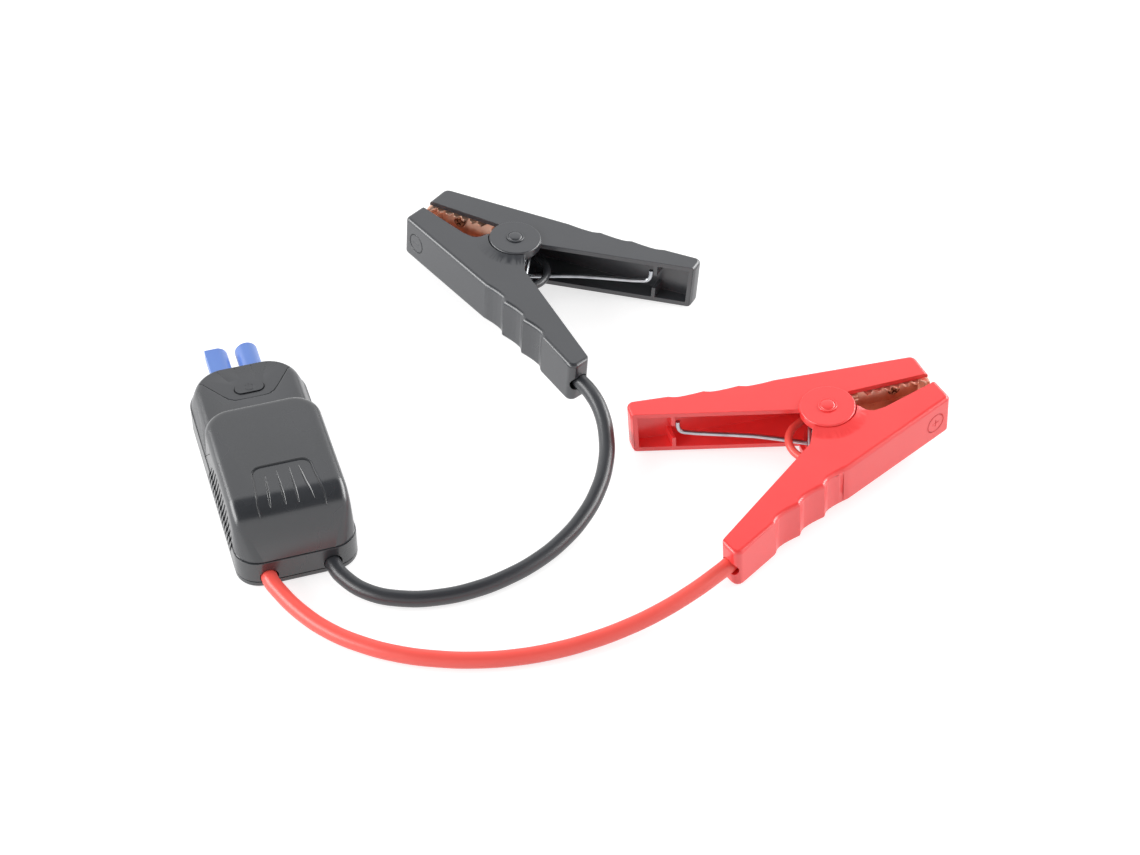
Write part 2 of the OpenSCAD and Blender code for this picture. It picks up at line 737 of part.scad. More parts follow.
// Crimp at a jaw's tail for a lead of diameter d, at the height z
crimp_u = jaw_l + 2;
crimp_l = 5.5;
crimp_v = jaw_depth + 0.2;
module crimp(d, z) {
    translate([crimp_u, crimp_v, z]) rotate([0, 90, 0]) difference() {
        cylinder(h = crimp_l, r = d / 2 + 0.6, $fn = 32);
        translate([0, 0, 1.4]) cylinder(h = crimp_l, r = d / 2 + 0.05, $fn = 32);
    }
}

module outer_jaw() {
    jaw();
    crimp(lead_d, 0);
}

module inner_jaw() {
    jaw();
    crimp(lead_d, lead_z);
    crimp(cable_d, cable_z);
}

jaw_head_r = jaw_screw_d / 2 + 0.8;
module jaw_screw() {
    translate([jaw_screw_u, jaw_depth - 0.05, 0]) rotate([-90, 0, 0]) difference() {
        union() {
            cylinder(h = jaw_sheet + 3, r = jaw_screw_d / 2, $fn = 24);
            translate([0, 0, -1.1]) cylinder(h = 1.1, r = jaw_head_r, $fn = 32);
            translate([0, 0, -1.7]) cylinder(h = 0.6, r1 = jaw_head_r - 0.8, r2 = jaw_head_r, $fn = 32);
        }
        for (turn = [45, 135]) rotate(turn) translate([0, 0, -1.7]) cube([2.8, 0.7, 1.6], center = true);
    }
}

module at_outer_edge() {
    translate(outer_edge_at) rotate(edge_turn) children();
}

module at_inner_edge() {
    translate(inner_tip) rotate(inner_turn) mirror([0, 1, 0]) children();
}

pin_top = outer_half + lug_raise;
module pivot_pin() {
    union() {
        translate([0, 0, -pin_top - 2.4]) cylinder(h = 2 * pin_top + 2.4, r = pin_d / 2, $fn = round_fn);
        translate([0, 0, pin_top]) cylinder(h = pin_head_h / 2, r = pin_head_d / 2, $fn = round_fn);
        translate([0, 0, pin_top + pin_head_h / 2])
            cylinder(h = pin_head_h / 2, r1 = pin_head_d / 2, r2 = pin_head_d / 2 - pin_head_h, $fn = round_fn);
    }
}

module pin_cap() {
    translate([0, 0, -pin_top - pin_cap_h]) difference() {
        union() {
            translate([0, 0, 1]) cylinder(h = pin_cap_h - 1.1, r = 4.4, $fn = round_fn);
            cylinder(h = 1, r1 = 3.2, r2 = 4.4, $fn = round_fn);
        }
        translate([0, 0, pin_cap_h - 2.5]) cylinder(h = 9, r = pin_d / 2 + 0.02, $fn = round_fn);
    }
}

// A tube of radius r swept along points, with n sides
function unit(v) = v / norm(v);
function tangent(p, i) = unit(p[min(i + 1, len(p) - 1)] - p[max(i - 1, 0)]);
function side_of(t, up) = unit(cross(up, t));
module tube(points, r, n, up) {
    last = len(points) - 1;
    rings = [for (i = [0 : last]) let (
            t = tangent(points, i),
            s = side_of(t, up),
            w = cross(t, s))
        for (k = [0 : n - 1]) points[i] + r * (cos(360 * k / n) * s + sin(360 * k / n) * w)];
    sides = [for (i = [0 : last - 1], k = [0 : n - 1]) let (
            a = i * n + k,
            b = i * n + (k + 1) % n)
        each [[a, b, b + n], [a, b + n, a + n]]];
    ends = concat(
        [for (k = [1 : n - 2]) [0, k + 1, k]],
        [for (k = [1 : n - 2]) [last * n, last * n + k, last * n + k + 1]]);
    polyhedron(points = rings, faces = [for (f = concat(sides, ends)) reversed(f)], convexity = 10);
}

// Torsion spring: a coil round the pin and a leg into each handle
leg_out_to = [55.6, 17.4];
leg_in_to = [23, -35.2];
function leg_angle(to, side) = atan2(to[1], to[0]) + side * asin(coil_r / norm(to));
leg_out_angle = leg_angle(leg_out_to, 1) - 90;
leg_in_angle = leg_angle(leg_in_to, -1) + 90;
coil_turns = 3;
coil_sweep = 360 * coil_turns + leg_in_angle - leg_out_angle;
coil_steps = round(8 * coil_sweep / 360);
coil_rise = coil_pitch * coil_sweep / 360;
coil_points = [for (i = [0 : coil_steps]) let (a = leg_out_angle + coil_sweep * i / coil_steps)
    [coil_r * cos(a), coil_r * sin(a), coil_rise * (i / coil_steps - 0.5)]];
leg_rise = 5.4;
spring_points = concat(
    [[leg_out_to[0], leg_out_to[1], leg_rise], [leg_out_to[0], leg_out_to[1], leg_rise / 2]],
    [[leg_out_to[0] - 0.9, leg_out_to[1] - 0.4, 0.4]],
    [[leg_out_to[0] - 2.6, leg_out_to[1] - 1.1, -0.3]],
    [[leg_out_to[0] / 2, leg_out_to[1] / 2 - 2.1, -coil_rise / 4]],
    coil_points,
    [[leg_in_to[0], leg_in_to[1], coil_rise / 2 - 1]]);
coil_gap = min([for (i = [0 : coil_steps - 8]) norm(coil_points[i] - coil_points[i + 8])]) - wire_d;
echo("least gap between the spring's turns", coil_gap);

module spring() {
    color(steel) tube(spring_points, wire_d / 2, 6, [0, 0.01, 1]);
}

// Link lead: carries the current from the cable half to the free half round the pivot
lead_d = 3.2;
lead_loop_at = [5.5, -5.6];
lead_loop_r = 11.8;
// Heights of the lead and the cable side by side in the cable half
lead_z = 4.3;
cable_z = -2.9;
function outer_jaw_point(u, v, z) = [outer_at(u, v)[0], outer_at(u, v)[1], z];
function inner_jaw_point(u, v, z) = [inner_at(u, v)[0], inner_at(u, v)[1], z];
function loop_point(a) = [lead_loop_at[0] + lead_loop_r * cos(a), lead_loop_at[1] + lead_loop_r * sin(a), 0];
lead_points = concat(
    [outer_jaw_point(crimp_u + 1.6, crimp_v, 0), outer_jaw_point(crimp_u + crimp_l + 0.5, crimp_v, 0)],
    [[0, 10.2, 0]],
    [for (a = [70 : -15.5 : -54]) loop_point(a)],
    [[6.5, -18, 0.9], [-0.5, -18.4, 2.6]],
    [inner_jaw_point(crimp_u + crimp_l + 2.5, crimp_v, lead_z - 0.2)],
    [inner_jaw_point(crimp_u + crimp_l, crimp_v, lead_z), inner_jaw_point(crimp_u + 1.6, crimp_v, lead_z)]);
module link_lead() {
    tube(lead_points, lead_d / 2, 8, [0, 0, 1]);
}

/* ---- Cables ---- */

// A point turned by a degrees round the direction v
function turned(p, a, v) = let (u = unit(v)) p * cos(a) + cross(u, p) * sin(a) + u * (u * p) * (1 - cos(a));
function from_black(p) = [black_at[0], black_at[1], pivot_z]
    + turned(turned(p, black_turn, [0, 0, 1]), black_tilt, [0, 1, 0]);
function from_red(p) = [red_at[0], red_at[1], pivot_z]
    + turned(turned([-p[0], p[1], p[2]], red_turn, [0, 0, 1]), red_tilt, red_tilt_axis);

// The cables' way through the box's front wall
function in_box(x) = [
    [x, saddle_y + 7, cable_exit_z], [x, saddle_y - 1, cable_exit_z],
    [x, front_y + 4, cable_exit_z], [x, front_y - 2, cable_exit_z - 0.1]];
// The cables' way through the handle to the jaw's crimp, in the clamp's own place
in_handle = [
    [58.2, -53.6, cable_drop], [50.5, -47.2, cable_drop - 0.2], [45, -43.2, -1.8], [38, -39.2, cable_z],
    [25, -33.2, cable_z],
    [10, -26.4, cable_z], [-3, -19.8, cable_z],
    inner_jaw_point(crimp_u + crimp_l + 2.5, crimp_v, cable_z),
    inner_jaw_point(crimp_u + crimp_l, crimp_v, cable_z),
    inner_jaw_point(crimp_u + 1.6, crimp_v, cable_z)];

red_route = concat(
    in_box(-cable_exit_x),
    [[-10.4, -60, 4.3], [-4.8, -72.6, 3.7], [3, -84.3, 3.3], [13, -94.4, 3.2], [24.4, -102.7, 3.2],
    [37, -109.1, 3.2], [50.4, -113.9, 3.2], [64.2, -117, 3.3], [78.2, -118.5, 3.7], [92.4, -118.4, 4.3],
    [106.4, -116.9, 5.1], [120.2, -114, 6.1], [133.7, -109.7, 7.3], [144.6, -105.2, 8.3]],
    [for (p = in_handle) from_red(p)]);
black_route = concat(
    in_box(cable_exit_x),
    [[14.2, -60.5, 4.3], [21.2, -70, 3.6], [32.8, -76.8, 3.3], [46, -80, 3.2], [59.6, -80.2, 3.2],
    [72.9, -77.7, 3.2], [85.7, -73.2, 3.4], [97.6, -66.7, 4], [108.3, -58.5, 5.2], [117.4, -48.6, 6.9],
    [124.5, -37.1, 8.9], [129, -24.6, 11], [130.9, -11.3, 13], [130, -1, 14.1]],
    [for (p = in_handle) from_black(p)]);
cable_up = [0, 0, 1];

module red_cable() {
    color(clamp_red) tube(red_route, cable_d / 2, 10, cable_up);
}

module black_cable() {
    color(clamp_black) tube(black_route, cable_d / 2, 10, cable_up);
}

top_shell();
lower_shell();
bottom_cover();
case_screws();
boost_button();
tact_switch();
circuit_board();
relays();
capacitor();
cable_saddle();
plug_housing();
plug_contacts();

red_cable();
at_red() color(clamp_red) outer_handle();  // red_outer_handle
at_red() color(clamp_red) inner_handle();  // red_inner_handle
at_red() at_outer_edge() color(copper) outer_jaw();  // red_outer_jaw
at_red() at_inner_edge() color(copper) inner_jaw();  // red_inner_jaw
at_red() at_outer_edge() color(steel) jaw_screw();  // red_outer_jaw_screw
at_red() at_inner_edge() color(steel) jaw_screw();  // red_inner_jaw_screw
at_red() color(clamp_red) pivot_pin();  // red_pivot_pin
at_red() color(clamp_red) pin_cap();  // red_pin_cap
at_red() spring();  // red_spring
at_red() color(clamp_red) link_lead();  // red_link_lead

black_cable();
at_black() color(clamp_black) outer_handle();  // black_outer_handle
at_black() color(clamp_black) inner_handle();  // black_inner_handle
at_black() at_outer_edge() color(copper) outer_jaw();  // black_outer_jaw
at_black() at_inner_edge() color(copper) inner_jaw();  // black_inner_jaw
at_black() at_outer_edge() color(steel) jaw_screw();  // black_outer_jaw_screw
at_black() at_inner_edge() color(steel) jaw_screw();  // black_inner_jaw_screw
at_black() color(clamp_black) pivot_pin();  // black_pivot_pin
at_black() color(clamp_black) pin_cap();  // black_pin_cap
at_black() spring();  // black_spring
at_black() color(clamp_black) link_lead();  // black_link_lead
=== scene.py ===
"""Smart jumper-cable set of a jump starter: a control box with a two-pole battery plug and a boost
button, a red and a black cable, and two spring clamps with copper jaws.

Shapes are drawn in millimetres where the CAD has them, and scaled to metres when a piece is finished.
"""

import math

import bmesh
import bpy
from mathutils import Matrix, Vector


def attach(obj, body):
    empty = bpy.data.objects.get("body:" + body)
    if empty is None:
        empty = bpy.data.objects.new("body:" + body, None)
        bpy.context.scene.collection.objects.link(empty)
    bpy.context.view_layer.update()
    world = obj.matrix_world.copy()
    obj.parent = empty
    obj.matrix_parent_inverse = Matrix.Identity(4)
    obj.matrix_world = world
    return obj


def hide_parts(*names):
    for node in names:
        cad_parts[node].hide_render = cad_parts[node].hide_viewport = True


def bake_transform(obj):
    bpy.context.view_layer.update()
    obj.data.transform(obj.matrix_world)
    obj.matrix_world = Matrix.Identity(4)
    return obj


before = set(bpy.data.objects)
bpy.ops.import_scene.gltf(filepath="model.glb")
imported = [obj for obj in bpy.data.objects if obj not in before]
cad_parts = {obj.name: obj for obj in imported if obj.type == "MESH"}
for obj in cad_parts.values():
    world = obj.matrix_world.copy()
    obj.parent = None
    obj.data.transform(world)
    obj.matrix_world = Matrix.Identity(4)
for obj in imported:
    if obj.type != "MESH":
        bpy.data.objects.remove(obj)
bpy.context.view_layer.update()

MM = 0.001
SIDES = ("red", "black")

# ---------------------------------------------------------------- camera

CAMERA_AT = (-0.09539, -0.68877, 0.675)
CAMERA_TILT, CAMERA_TURN = 46.82, -17.50

scene = bpy.context.scene
scene.view_settings.view_transform = "Standard"

camera_data = bpy.data.cameras.new("camera")
camera_data.lens = 77.84
camera_data.sensor_width = 36.0
camera_data.shift_y = -0.0015
camera_data.clip_end = 50.0
camera = bpy.data.objects.new("camera", camera_data)
camera.location = CAMERA_AT
camera.rotation_euler = (math.radians(CAMERA_TILT), 0.0, math.radians(CAMERA_TURN))
scene.collection.objects.link(camera)
scene.camera = camera

# ---------------------------------------------------------------- small helpers


def link(name, mesh):
    piece = bpy.data.objects.new(name, mesh)
    scene.collection.objects.link(piece)
    return piece


def turn(degrees, axis):
    return Matrix.Rotation(math.radians(degrees), 4, Vector(axis).normalized())


def linear(code):
    """The linear colour of an sRGB hex code."""
    parts = [int(code[i:i + 2], 16) / 255 for i in (1, 3, 5)]
    return [p / 12.92 if p <= 0.04045 else ((p + 0.055) / 1.055) ** 2.4 for p in parts] + [1.0]


def add(tree, kind, inputs=None, settings=None):
    """Adds a node to a tree: a socket given as an input is linked, anything else is its value."""
    made = tree.nodes.new(kind)
    for key, value in (settings or {}).items():
        setattr(made, key, value)
    for key, value in (inputs or {}).items():
        if isinstance(value, bpy.types.NodeSocket):
            tree.links.new(value, made.inputs[key])
        else:
            made.inputs[key].default_value = value
    return made


def material(name):
    """A new material, its tree and its shader."""
    made = bpy.data.materials.new(name)
    made.use_nodes = True
    return made, made.node_tree, made.node_tree.nodes["Principled BSDF"]


# ---------------------------------------------------------------- materials

# a Mix node's sockets when it mixes colours
COLOUR_A, COLOUR_B, COLOUR_OUT = 6, 7, 2


def dress(tree, shader, blend, codes, sheen_of, roughness, relief_of, relief):
    """Gives a shader two colours that one pattern blends, a sheen from another and a relief in mm."""
    mix = add(tree, "ShaderNodeMix",
              {"Factor": blend.outputs[0], COLOUR_A: linear(codes[0]), COLOUR_B: linear(codes[1])},
              {"data_type": "RGBA"})
    sheen = add(tree, "ShaderNodeMapRange",
                {"Value": sheen_of.outputs["Fac"], "To Min": roughness[0], "To Max": roughness[1]})
    bump = add(tree, "ShaderNodeBump",
               {"Height": relief_of.outputs["Fac"], "Strength": 1.0, "Distance": relief * MM})
    tree.links.new(mix.outputs[COLOUR_OUT], shader.inputs["Base Color"])
    tree.links.new(sheen.outputs[0], shader.inputs["Roughness"])
    tree.links.new(bump.outputs[0], shader.inputs["Normal"])


def satin(name, code, worn_code, roughness, specular=0.5, grain=0.35, relief=0.012):
    """Satin plastic or rubber: a fine skin, with a slow drift of colour and sheen from melt and hands.

    The skin's spots are grain mm wide and relief mm deep. Real ones are some 0.1 mm wide, too fine to
    show, so they are drawn coarser.
    """
    drift_width = 25
    made, tree, shader = material(name)
    coords = add(tree, "ShaderNodeTexCoord").outputs["Object"]
    skin = add(tree, "ShaderNodeTexNoise",
               {"Vector": coords, "Scale": 1 / (grain * MM), "Detail": 2.0, "Roughness": 0.6})
    drift = add(tree, "ShaderNodeTexNoise",
                {"Vector": coords, "Scale": 1 / (drift_width * MM), "Detail": 3.0})
    blend = add(tree, "ShaderNodeMapRange",
                {"Value": drift.outputs["Fac"], "From Min": 0.2, "From Max": 0.8},
                {"interpolation_type": "SMOOTHSTEP"})
    dress(tree, shader, blend, (code, worn_code), drift, (roughness - 0.04, roughness + 0.06), skin, relief)
    shader.inputs["IOR"].default_value = 1.5
    shader.inputs["Specular IOR Level"].default_value = specular
    return made


def metal(name, code, dull_code, roughness, metallic=1.0):
    """Bare or plated metal: short scratches, drawn coarse enough to show, and patches gone dull."""
    scratch_width, scratch_length, patch_width, relief = 0.15, 3.0, 5, 0.004
    made, tree, shader = material(name)
    coords = add(tree, "ShaderNodeTexCoord").outputs["Object"]
    stretch = add(tree, "ShaderNodeMapping",
                  {"Vector": coords, "Scale": (1.0, 1.0, scratch_width / scratch_length)})
    scratches = add(tree, "ShaderNodeTexNoise",
                    {"Vector": stretch.outputs[0], "Scale": 1 / (scratch_width * MM), "Detail": 2.0})
    patches = add(tree, "ShaderNodeTexNoise",
                  {"Vector": coords, "Scale": 1 / (patch_width * MM), "Detail": 4.0})
    blend = add(tree, "ShaderNodeMapRange",
                {"Value": patches.outputs["Fac"], "From Min": 0.4, "From Max": 0.75})
    dress(tree, shader, blend, (code, dull_code), scratches, (roughness - 0.08, roughness + 0.12),
          scratches, relief)
    shader.inputs["Metallic"].default_value = metallic
    return made


# Spark-eroded ABS: nearly black, and glossy enough that each round edge draws a soft pale band.
SHELL_BLACK = satin("moulded_abs_black", "#313336", "#35373b", 0.26, specular=1.0)
# The same ABS, a shade darker and duller, so that the button stands out from its panel.
BUTTON_BLACK = satin("moulded_abs_button", "#2f3134", "#333539", 0.28, specular=1.0)
# Glass-filled nylon: a full red that stays warm in the shade, and a black a little paler than the box.
CLAMP = {
    "red": satin("moulded_nylon_red", "#fb4040", "#fc4645", 0.29, specular=1.0),
    "black": satin("moulded_nylon_black", "#36383c", "#3b3d41", 0.29, specular=1.0),
}
# Silicone sheath: softer than the plastics, with one broad dim highlight along the cable.
SHEATH = {
    "red": satin("silicone_sheath_red", "#fa584e", "#fb5f55", 0.36, specular=0.8, grain=0.6, relief=0.02),
    "black": satin("silicone_sheath_black", "#2f3135", "#34363a", 0.36, specular=0.8, grain=0.6, relief=0.02),
}
# Plug nylon: a mid blue with a flat sheen that marks the two barrels out from the box.
PLUG_BLUE = satin("moulded_nylon_blue", "#5b7fca", "#6387ce", 0.34, specular=0.9)
# Pressed copper sheet: pink where it mirrors light, brown in its folds; its tarnish scatters a little.
COPPER = metal("pressed_copper", "#ffd2bb", "#f6b898", 0.32, metallic=0.8)
# Zinc plate on the spring wire and the case screws: a cool pale streak along each of them.
STEEL = metal("zinc_plated_steel", "#c9ccd0", "#a9adb3", 0.30)
# Screws with a worn copper wash: brown heads that stay darker than the jaws.
WASHED_STEEL = metal("copper_washed_screw", "#9a6248", "#6e4433", 0.30)
# Gold on the plug's brass contacts: a warm bright ring in each barrel.
GOLD = metal("gold_plated_brass", "#e2b860", "#c79a48", 0.26)
# Solder mask on the board: a deep green with a varnish sheen.
BOARD_GREEN = satin("solder_mask_green", "#1f5b3a", "#194d31", 0.35)
# Thermoset case of relays and switch: black and duller than the shell.
RELAY_BLACK = satin("moulded_relay_case", "#26282b", "#2c2e31", 0.40)
# Shrink sleeve of the capacitor: dark blue, smooth and tight.
SLEEVE_BLUE = satin("capacitor_sleeve", "#26365c", "#2b3d66", 0.40)
# Plain nylon of the saddle that grips the cables: dark grey and dull.
SADDLE_GREY = satin("moulded_saddle", "#3a3c40", "#404246", 0.50)

# ---------------------------------------------------------------- where things lie, as in the CAD

case_l, case_w, case_front_r, case_rear_r, case_wall = 104.8, 46.8, 9.5, 14, 2
front_y, rear_y = -case_l / 2, case_l / 2
cable_d, cable_exit_x, cable_exit_z = 6.3, 12.2, 4.9
free_half_t, cable_half_t = 20.6, 18.8
# the raised disc round the free half's pivot, and the cone round the cable half's
lug_r, lug_raise, cone_r = 10.9, 1.3, 16.4
lug_top = free_half_t / 2 + lug_raise
pin_cap_h = 3.2
pivot_z = lug_top + pin_cap_h + 0.3

# a clamp's own place, in millimetres, to the frame; the red clamp is the mirrored one
CLAMP_AT = {
    "black": Matrix.Translation((124.4, 87.0, pivot_z)) @ turn(3.7, (0, 1, 0)) @ turn(-44.9, (0, 0, 1)),
    "red": Matrix.Translation((211.9, -48.7, pivot_z)) @ turn(4.3, (1.25, -4.1, 0))
    @ turn(-1.1, (0, 0, 1)) @ Matrix.Diagonal((-1, 1, 1, 1)),
}

# ---------------------------------------------------------------- cables

# heights of the cable's middle in the clamp's own place: at the handle's end and inside the handle,
# where the sheath stops short of the jaw's crimp
cable_drop, cable_z = -0.6, -2.9
CLAMP_END = [(58.2, -53.6, cable_drop), (50.5, -47.2, cable_drop - 0.2), (45, -43.2, -1.8),
             (38, -39.2, cable_z), (25, -33.2, cable_z), (10, -26.4, cable_z), (-3, -19.8, cable_z)]
FREE_RUN = {
    "red": [(-10.4, -60, 4.3), (-4.8, -72.6, 3.7), (3, -84.3, 3.3), (13, -94.4, 3.2), (24.4, -102.7, 3.2),
            (37, -109.1, 3.2), (50.4, -113.9, 3.2), (64.2, -117, 3.3), (78.2, -118.5, 3.7),
            (92.4, -118.4, 4.3), (106.4, -116.9, 5.1), (120.2, -114, 6.1), (133.7, -109.7, 7.3),
            (144.6, -105.2, 8.3)],
    "black": [(14.2, -60.5, 4.3), (21.2, -70, 3.6), (32.8, -76.8, 3.3), (46, -80, 3.2), (59.6, -80.2, 3.2),
              (72.9, -77.7, 3.2), (85.7, -73.2, 3.4), (97.6, -66.7, 4), (108.3, -58.5, 5.2),
              (117.4, -48.6, 6.9), (124.5, -37.1, 8.9), (129, -24.6, 11), (130.9, -11.3, 13),
              (130, -1, 14.1)],
}


def box_end(x):
    """The cable's way from the saddle out through the box's front wall."""
    inside = [(x, front_y + behind, cable_exit_z) for behind in (20, 12, 4)]
    return inside + [(x, front_y - 2, cable_exit_z - 0.1)]


def round_curve(name, route, radius, sides, steps):
    """A round rod as a curve: one smooth open spline through a route."""
    curve = bpy.data.curves.new(name, "CURVE")
    curve.dimensions = "3D"
    curve.bevel_depth = radius
    curve.bevel_resolution = sides
    curve.resolution_u = steps
    curve.use_fill_caps = True
    spline = curve.splines.new("BEZIER")
    spline.bezier_points.add(len(route) - 1)
    for point, place in zip(spline.bezier_points, route):
        point.co = place
        point.handle_left_type = point.handle_right_type = "AUTO"
    return curve


def cable(side):
    x = cable_exit_x if side == "black" else -cable_exit_x
    route = [Vector(p) for p in box_end(x) + FREE_RUN[side]]
    route += [CLAMP_AT[side] @ Vector(p) for p in CLAMP_END]
    route = [p * MM for p in route]
    curve = round_curve(f"{side}_cable_sheath", route, cable_d / 2 * MM, sides=6, steps=8)
    curve.materials.append(SHEATH[side])
    piece = link(f"{side}_cable_sheath", curve)
    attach(piece, "set")
    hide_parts(f"{side}_cable")


for side in SIDES:
    cable(side)

# ---------------------------------------------------------------- making pieces, in millimetres

# points closer than this are one, in a new form and in a wrapped or copied one
SAME_POINT, SAME_COPIED_POINT = 0.0005, 0.002
# faces that differ by less than this are one, in a wrapped form and in a copied one
FLAT, COPIED_FLAT = math.radians(0.3), math.radians(0.5)
ROUND_STEPS = 96


def arc(x, y, radius, start, end, steps=8):
    """Points along an arc between two angles in degrees."""
    turns = [math.radians(start + (end - start) * k / steps) for k in range(steps + 1)]
    return [(x + radius * math.cos(t), y + radius * math.sin(t)) for t in turns]


def circle(x, y, radius, sides):
    return arc(x, y, radius, 0, 360 - 360 / sides, sides - 1)


def stadium(x, y, length, width):
    """Outline with two round ends."""
    half = (length - width) / 2
    return arc(x + half, y, width / 2, -90, 90, 20) + arc(x - half, y, width / 2, 90, 270, 20)


def rectangle(x, y, width, height):
    """Outline of a rectangle round its middle."""
    left, right, low, high = x - width / 2, x + width / 2, y - height / 2, y + height / 2
    return [(left, low), (right, low), (right, high), (left, high)]


def rounded(width, front, rear, front_r, rear_r, steps=12):
    """Outline of a plate with rounded corners, seen from above."""
    half = width / 2
    return (arc(half - front_r, front + front_r, front_r, 270, 360, steps)
            + arc(half - rear_r, rear - rear_r, rear_r, 0, 90, steps)
            + arc(rear_r - half, rear - rear_r, rear_r, 90, 180, steps)
            + arc(front_r - half, front + front_r, front_r, 180, 270, steps))


def grown(outline, by):
    """An outline moved outwards all round, whichever way it runs."""
    least_mitre = 0.3
    points = [Vector(p) for p in outline]
    count = len(points)
    area = sum(points[i - 1].cross(points[i]) for i in range(count))
    made = []
    for i, p in enumerate(points):
        before, after = (p - points[i - 1]).normalized(), (points[(i + 1) % count] - p).normalized()
        out_before, out_after = Vector((before.y, -before.x)), Vector((after.y, -after.x))
        out = (out_before + out_after).normalized()
        made.append(p + out * math.copysign(by, area) / max(least_mitre, out.dot(out_before)))
    return [tuple(p) for p in made]


def placed(mesh, place):
    """A mesh moved by a matrix, its faces still outwards where the matrix mirrors it."""
    mesh.transform(place)
    if place.is_negative:
        mesh.flip_normals()
    return mesh


def solid(form, place=None):
    """The finished mesh of a form, faces outwards, in the place that a matrix gives."""
    bmesh.ops.remove_doubles(form, verts=form.verts, dist=SAME_POINT)
    bmesh.ops.recalc_face_normals(form, faces=form.faces)
    mesh = bpy.data.meshes.new("form")
    form.to_mesh(mesh)
    form.free()
    return placed(mesh, place) if place else mesh


def rounded_edges(form, edges, radius, segments):
    """Rounds some edges of a form, also where a neighbour is narrower than the radius."""
    bmesh.ops.bevel(form, geom=edges, offset=radius, offset_type="OFFSET", affect="EDGES",
                    segments=segments, profile=0.5, material=-1, clamp_overlap=False)


def prism(outline, low, high, place=None, rim=0.0):
    """A straight solid between two heights, its rims rounded by a radius."""
    form = bmesh.new()
    sheet = form.faces.new([form.verts.new((x, y, low)) for x, y in outline])
    raised = bmesh.ops.extrude_face_region(form, geom=[sheet])["geom"]
    bmesh.ops.translate(form, verts=[v for v in raised if isinstance(v, bmesh.types.BMVert)],
                        vec=(0, 0, high - low))
    if rim:
        level = [e for e in form.edges if abs(e.verts[0].co.z - e.verts[1].co.z) < 1e-4]
        rounded_edges(form, level, rim, segments=7)
    return solid(form, place)


def flared(outline, levels):
    """A solid whose outline is wider at each higher level: (height, how much wider)."""
    form = bmesh.new()
    rings = []
    for height, wider in levels:
        ring = [form.verts.new((x, y, height)) for x, y in grown(outline, wider)]
        rings.append([form.edges.new((ring[k - 1], ring[k])) for k in range(len(ring))])
    for lower, upper in zip(rings, rings[1:]):
        bmesh.ops.bridge_loops(form, edges=lower + upper)
    bmesh.ops.holes_fill(form, edges=rings[0] + rings[-1])
    return solid(form)


def profile_line(form, profile):
    """The vertices and edges of a line of (radius, height) points, ready to be spun round Z."""
    line = [form.verts.new((r, 0, z)) for r, z in profile]
    return line + [form.edges.new(pair) for pair in zip(line, line[1:])]


def turned(profile, place=None):
    """A solid spun round Z from a profile of (radius, height) points that starts and ends on the axis."""
    form = bmesh.new()
    bmesh.ops.spin(form, geom=profile_line(form, profile), cent=(0, 0, 0), axis=(0, 0, 1), angle=math.tau,
                   steps=ROUND_STEPS, use_merge=True)
    return solid(form, place)


def hoop(radius, thick, place, sweep=360.0):
    """A thin ring, or part of one, to cut a line with."""
    form = bmesh.new()
    wire = bmesh.ops.create_circle(form, segments=8, radius=thick)["verts"]
    bmesh.ops.transform(form, verts=wire, matrix=Matrix.Translation((radius, 0, 0)) @ turn(90, (1, 0, 0)))
    bmesh.ops.spin(form, geom=form.verts[:] + form.edges[:], cent=(0, 0, 0), axis=(0, 0, 1),
                   angle=math.radians(sweep), steps=64, use_merge=sweep >= 360)
    if sweep < 360:
        bmesh.ops.holes_fill(form, edges=[e for e in form.edges if e.is_boundary])
    return solid(form, place)


def add_disc(form, radius, edge, place):
    """Adds a disc with a rounded rim to a form that is wrapped later."""
    rim = profile_line(form, arc(radius - edge, 0, edge, -90, 90, 16))
    bmesh.ops.spin(form, geom=rim, cent=(0, 0, 0), axis=(0, 0, 1), angle=math.tau, steps=ROUND_STEPS)
    for v in form.verts:
        if not v.tag:
            v.co = place @ v.co
            v.tag = True


def add_foot(form, outline, low, high):
    """Adds the points of a plate to a form that is wrapped later."""
    for x, y in outline:
        for z in (low, high):
            form.verts.new((x, y, z)).tag = True


def wrapped(form, place=None):
    """The tightest skin round all the points of a form, as a solid."""
    bmesh.ops.delete(form, geom=form.edges[:], context="EDGES_FACES")
    bmesh.ops.remove_doubles(form, verts=form.verts, dist=SAME_COPIED_POINT)
    bmesh.ops.convex_hull(form, input=form.verts)
    bmesh.ops.delete(form, geom=[v for v in form.verts if not v.link_faces], context="VERTS")
    bmesh.ops.dissolve_limit(form, angle_limit=FLAT, verts=form.verts, edges=form.edges)
    return solid(form, place)


def evaluated_mesh(piece):
    """A new mesh of a piece as its curve or its modifiers leave it."""
    bpy.context.view_layer.update()
    return bpy.data.meshes.new_from_object(piece.evaluated_get(bpy.context.evaluated_depsgraph_get()))


def carve(mesh, *steps):
    """A mesh after solids are joined to it, cut off it, or it is kept only inside them, one by one."""
    work = link("work", mesh)
    tools = []
    for operation, other in steps:
        tool = link("tool", other)
        cut = work.modifiers.new(operation, "BOOLEAN")
        cut.operation, cut.solver, cut.object = operation, "EXACT", tool
        tools.append(tool)
    made = evaluated_mesh(work)
    for piece in [work] + tools:
        spare = piece.data
        bpy.data.objects.remove(piece)
        bpy.data.meshes.remove(spare)
    return made


def rod(name, route, radius, sides, steps, taper=()):
    """A round rod along a smooth route, as a mesh with closed ends, thinner where a taper says."""
    curve = round_curve(name, route, radius, sides, steps)
    for point, share in zip(curve.splines[0].bezier_points, taper):
        point.radius = share
    holder = link(name, curve)
    mesh = evaluated_mesh(holder)
    bpy.data.objects.remove(holder)
    bpy.data.curves.remove(curve)
    return mesh


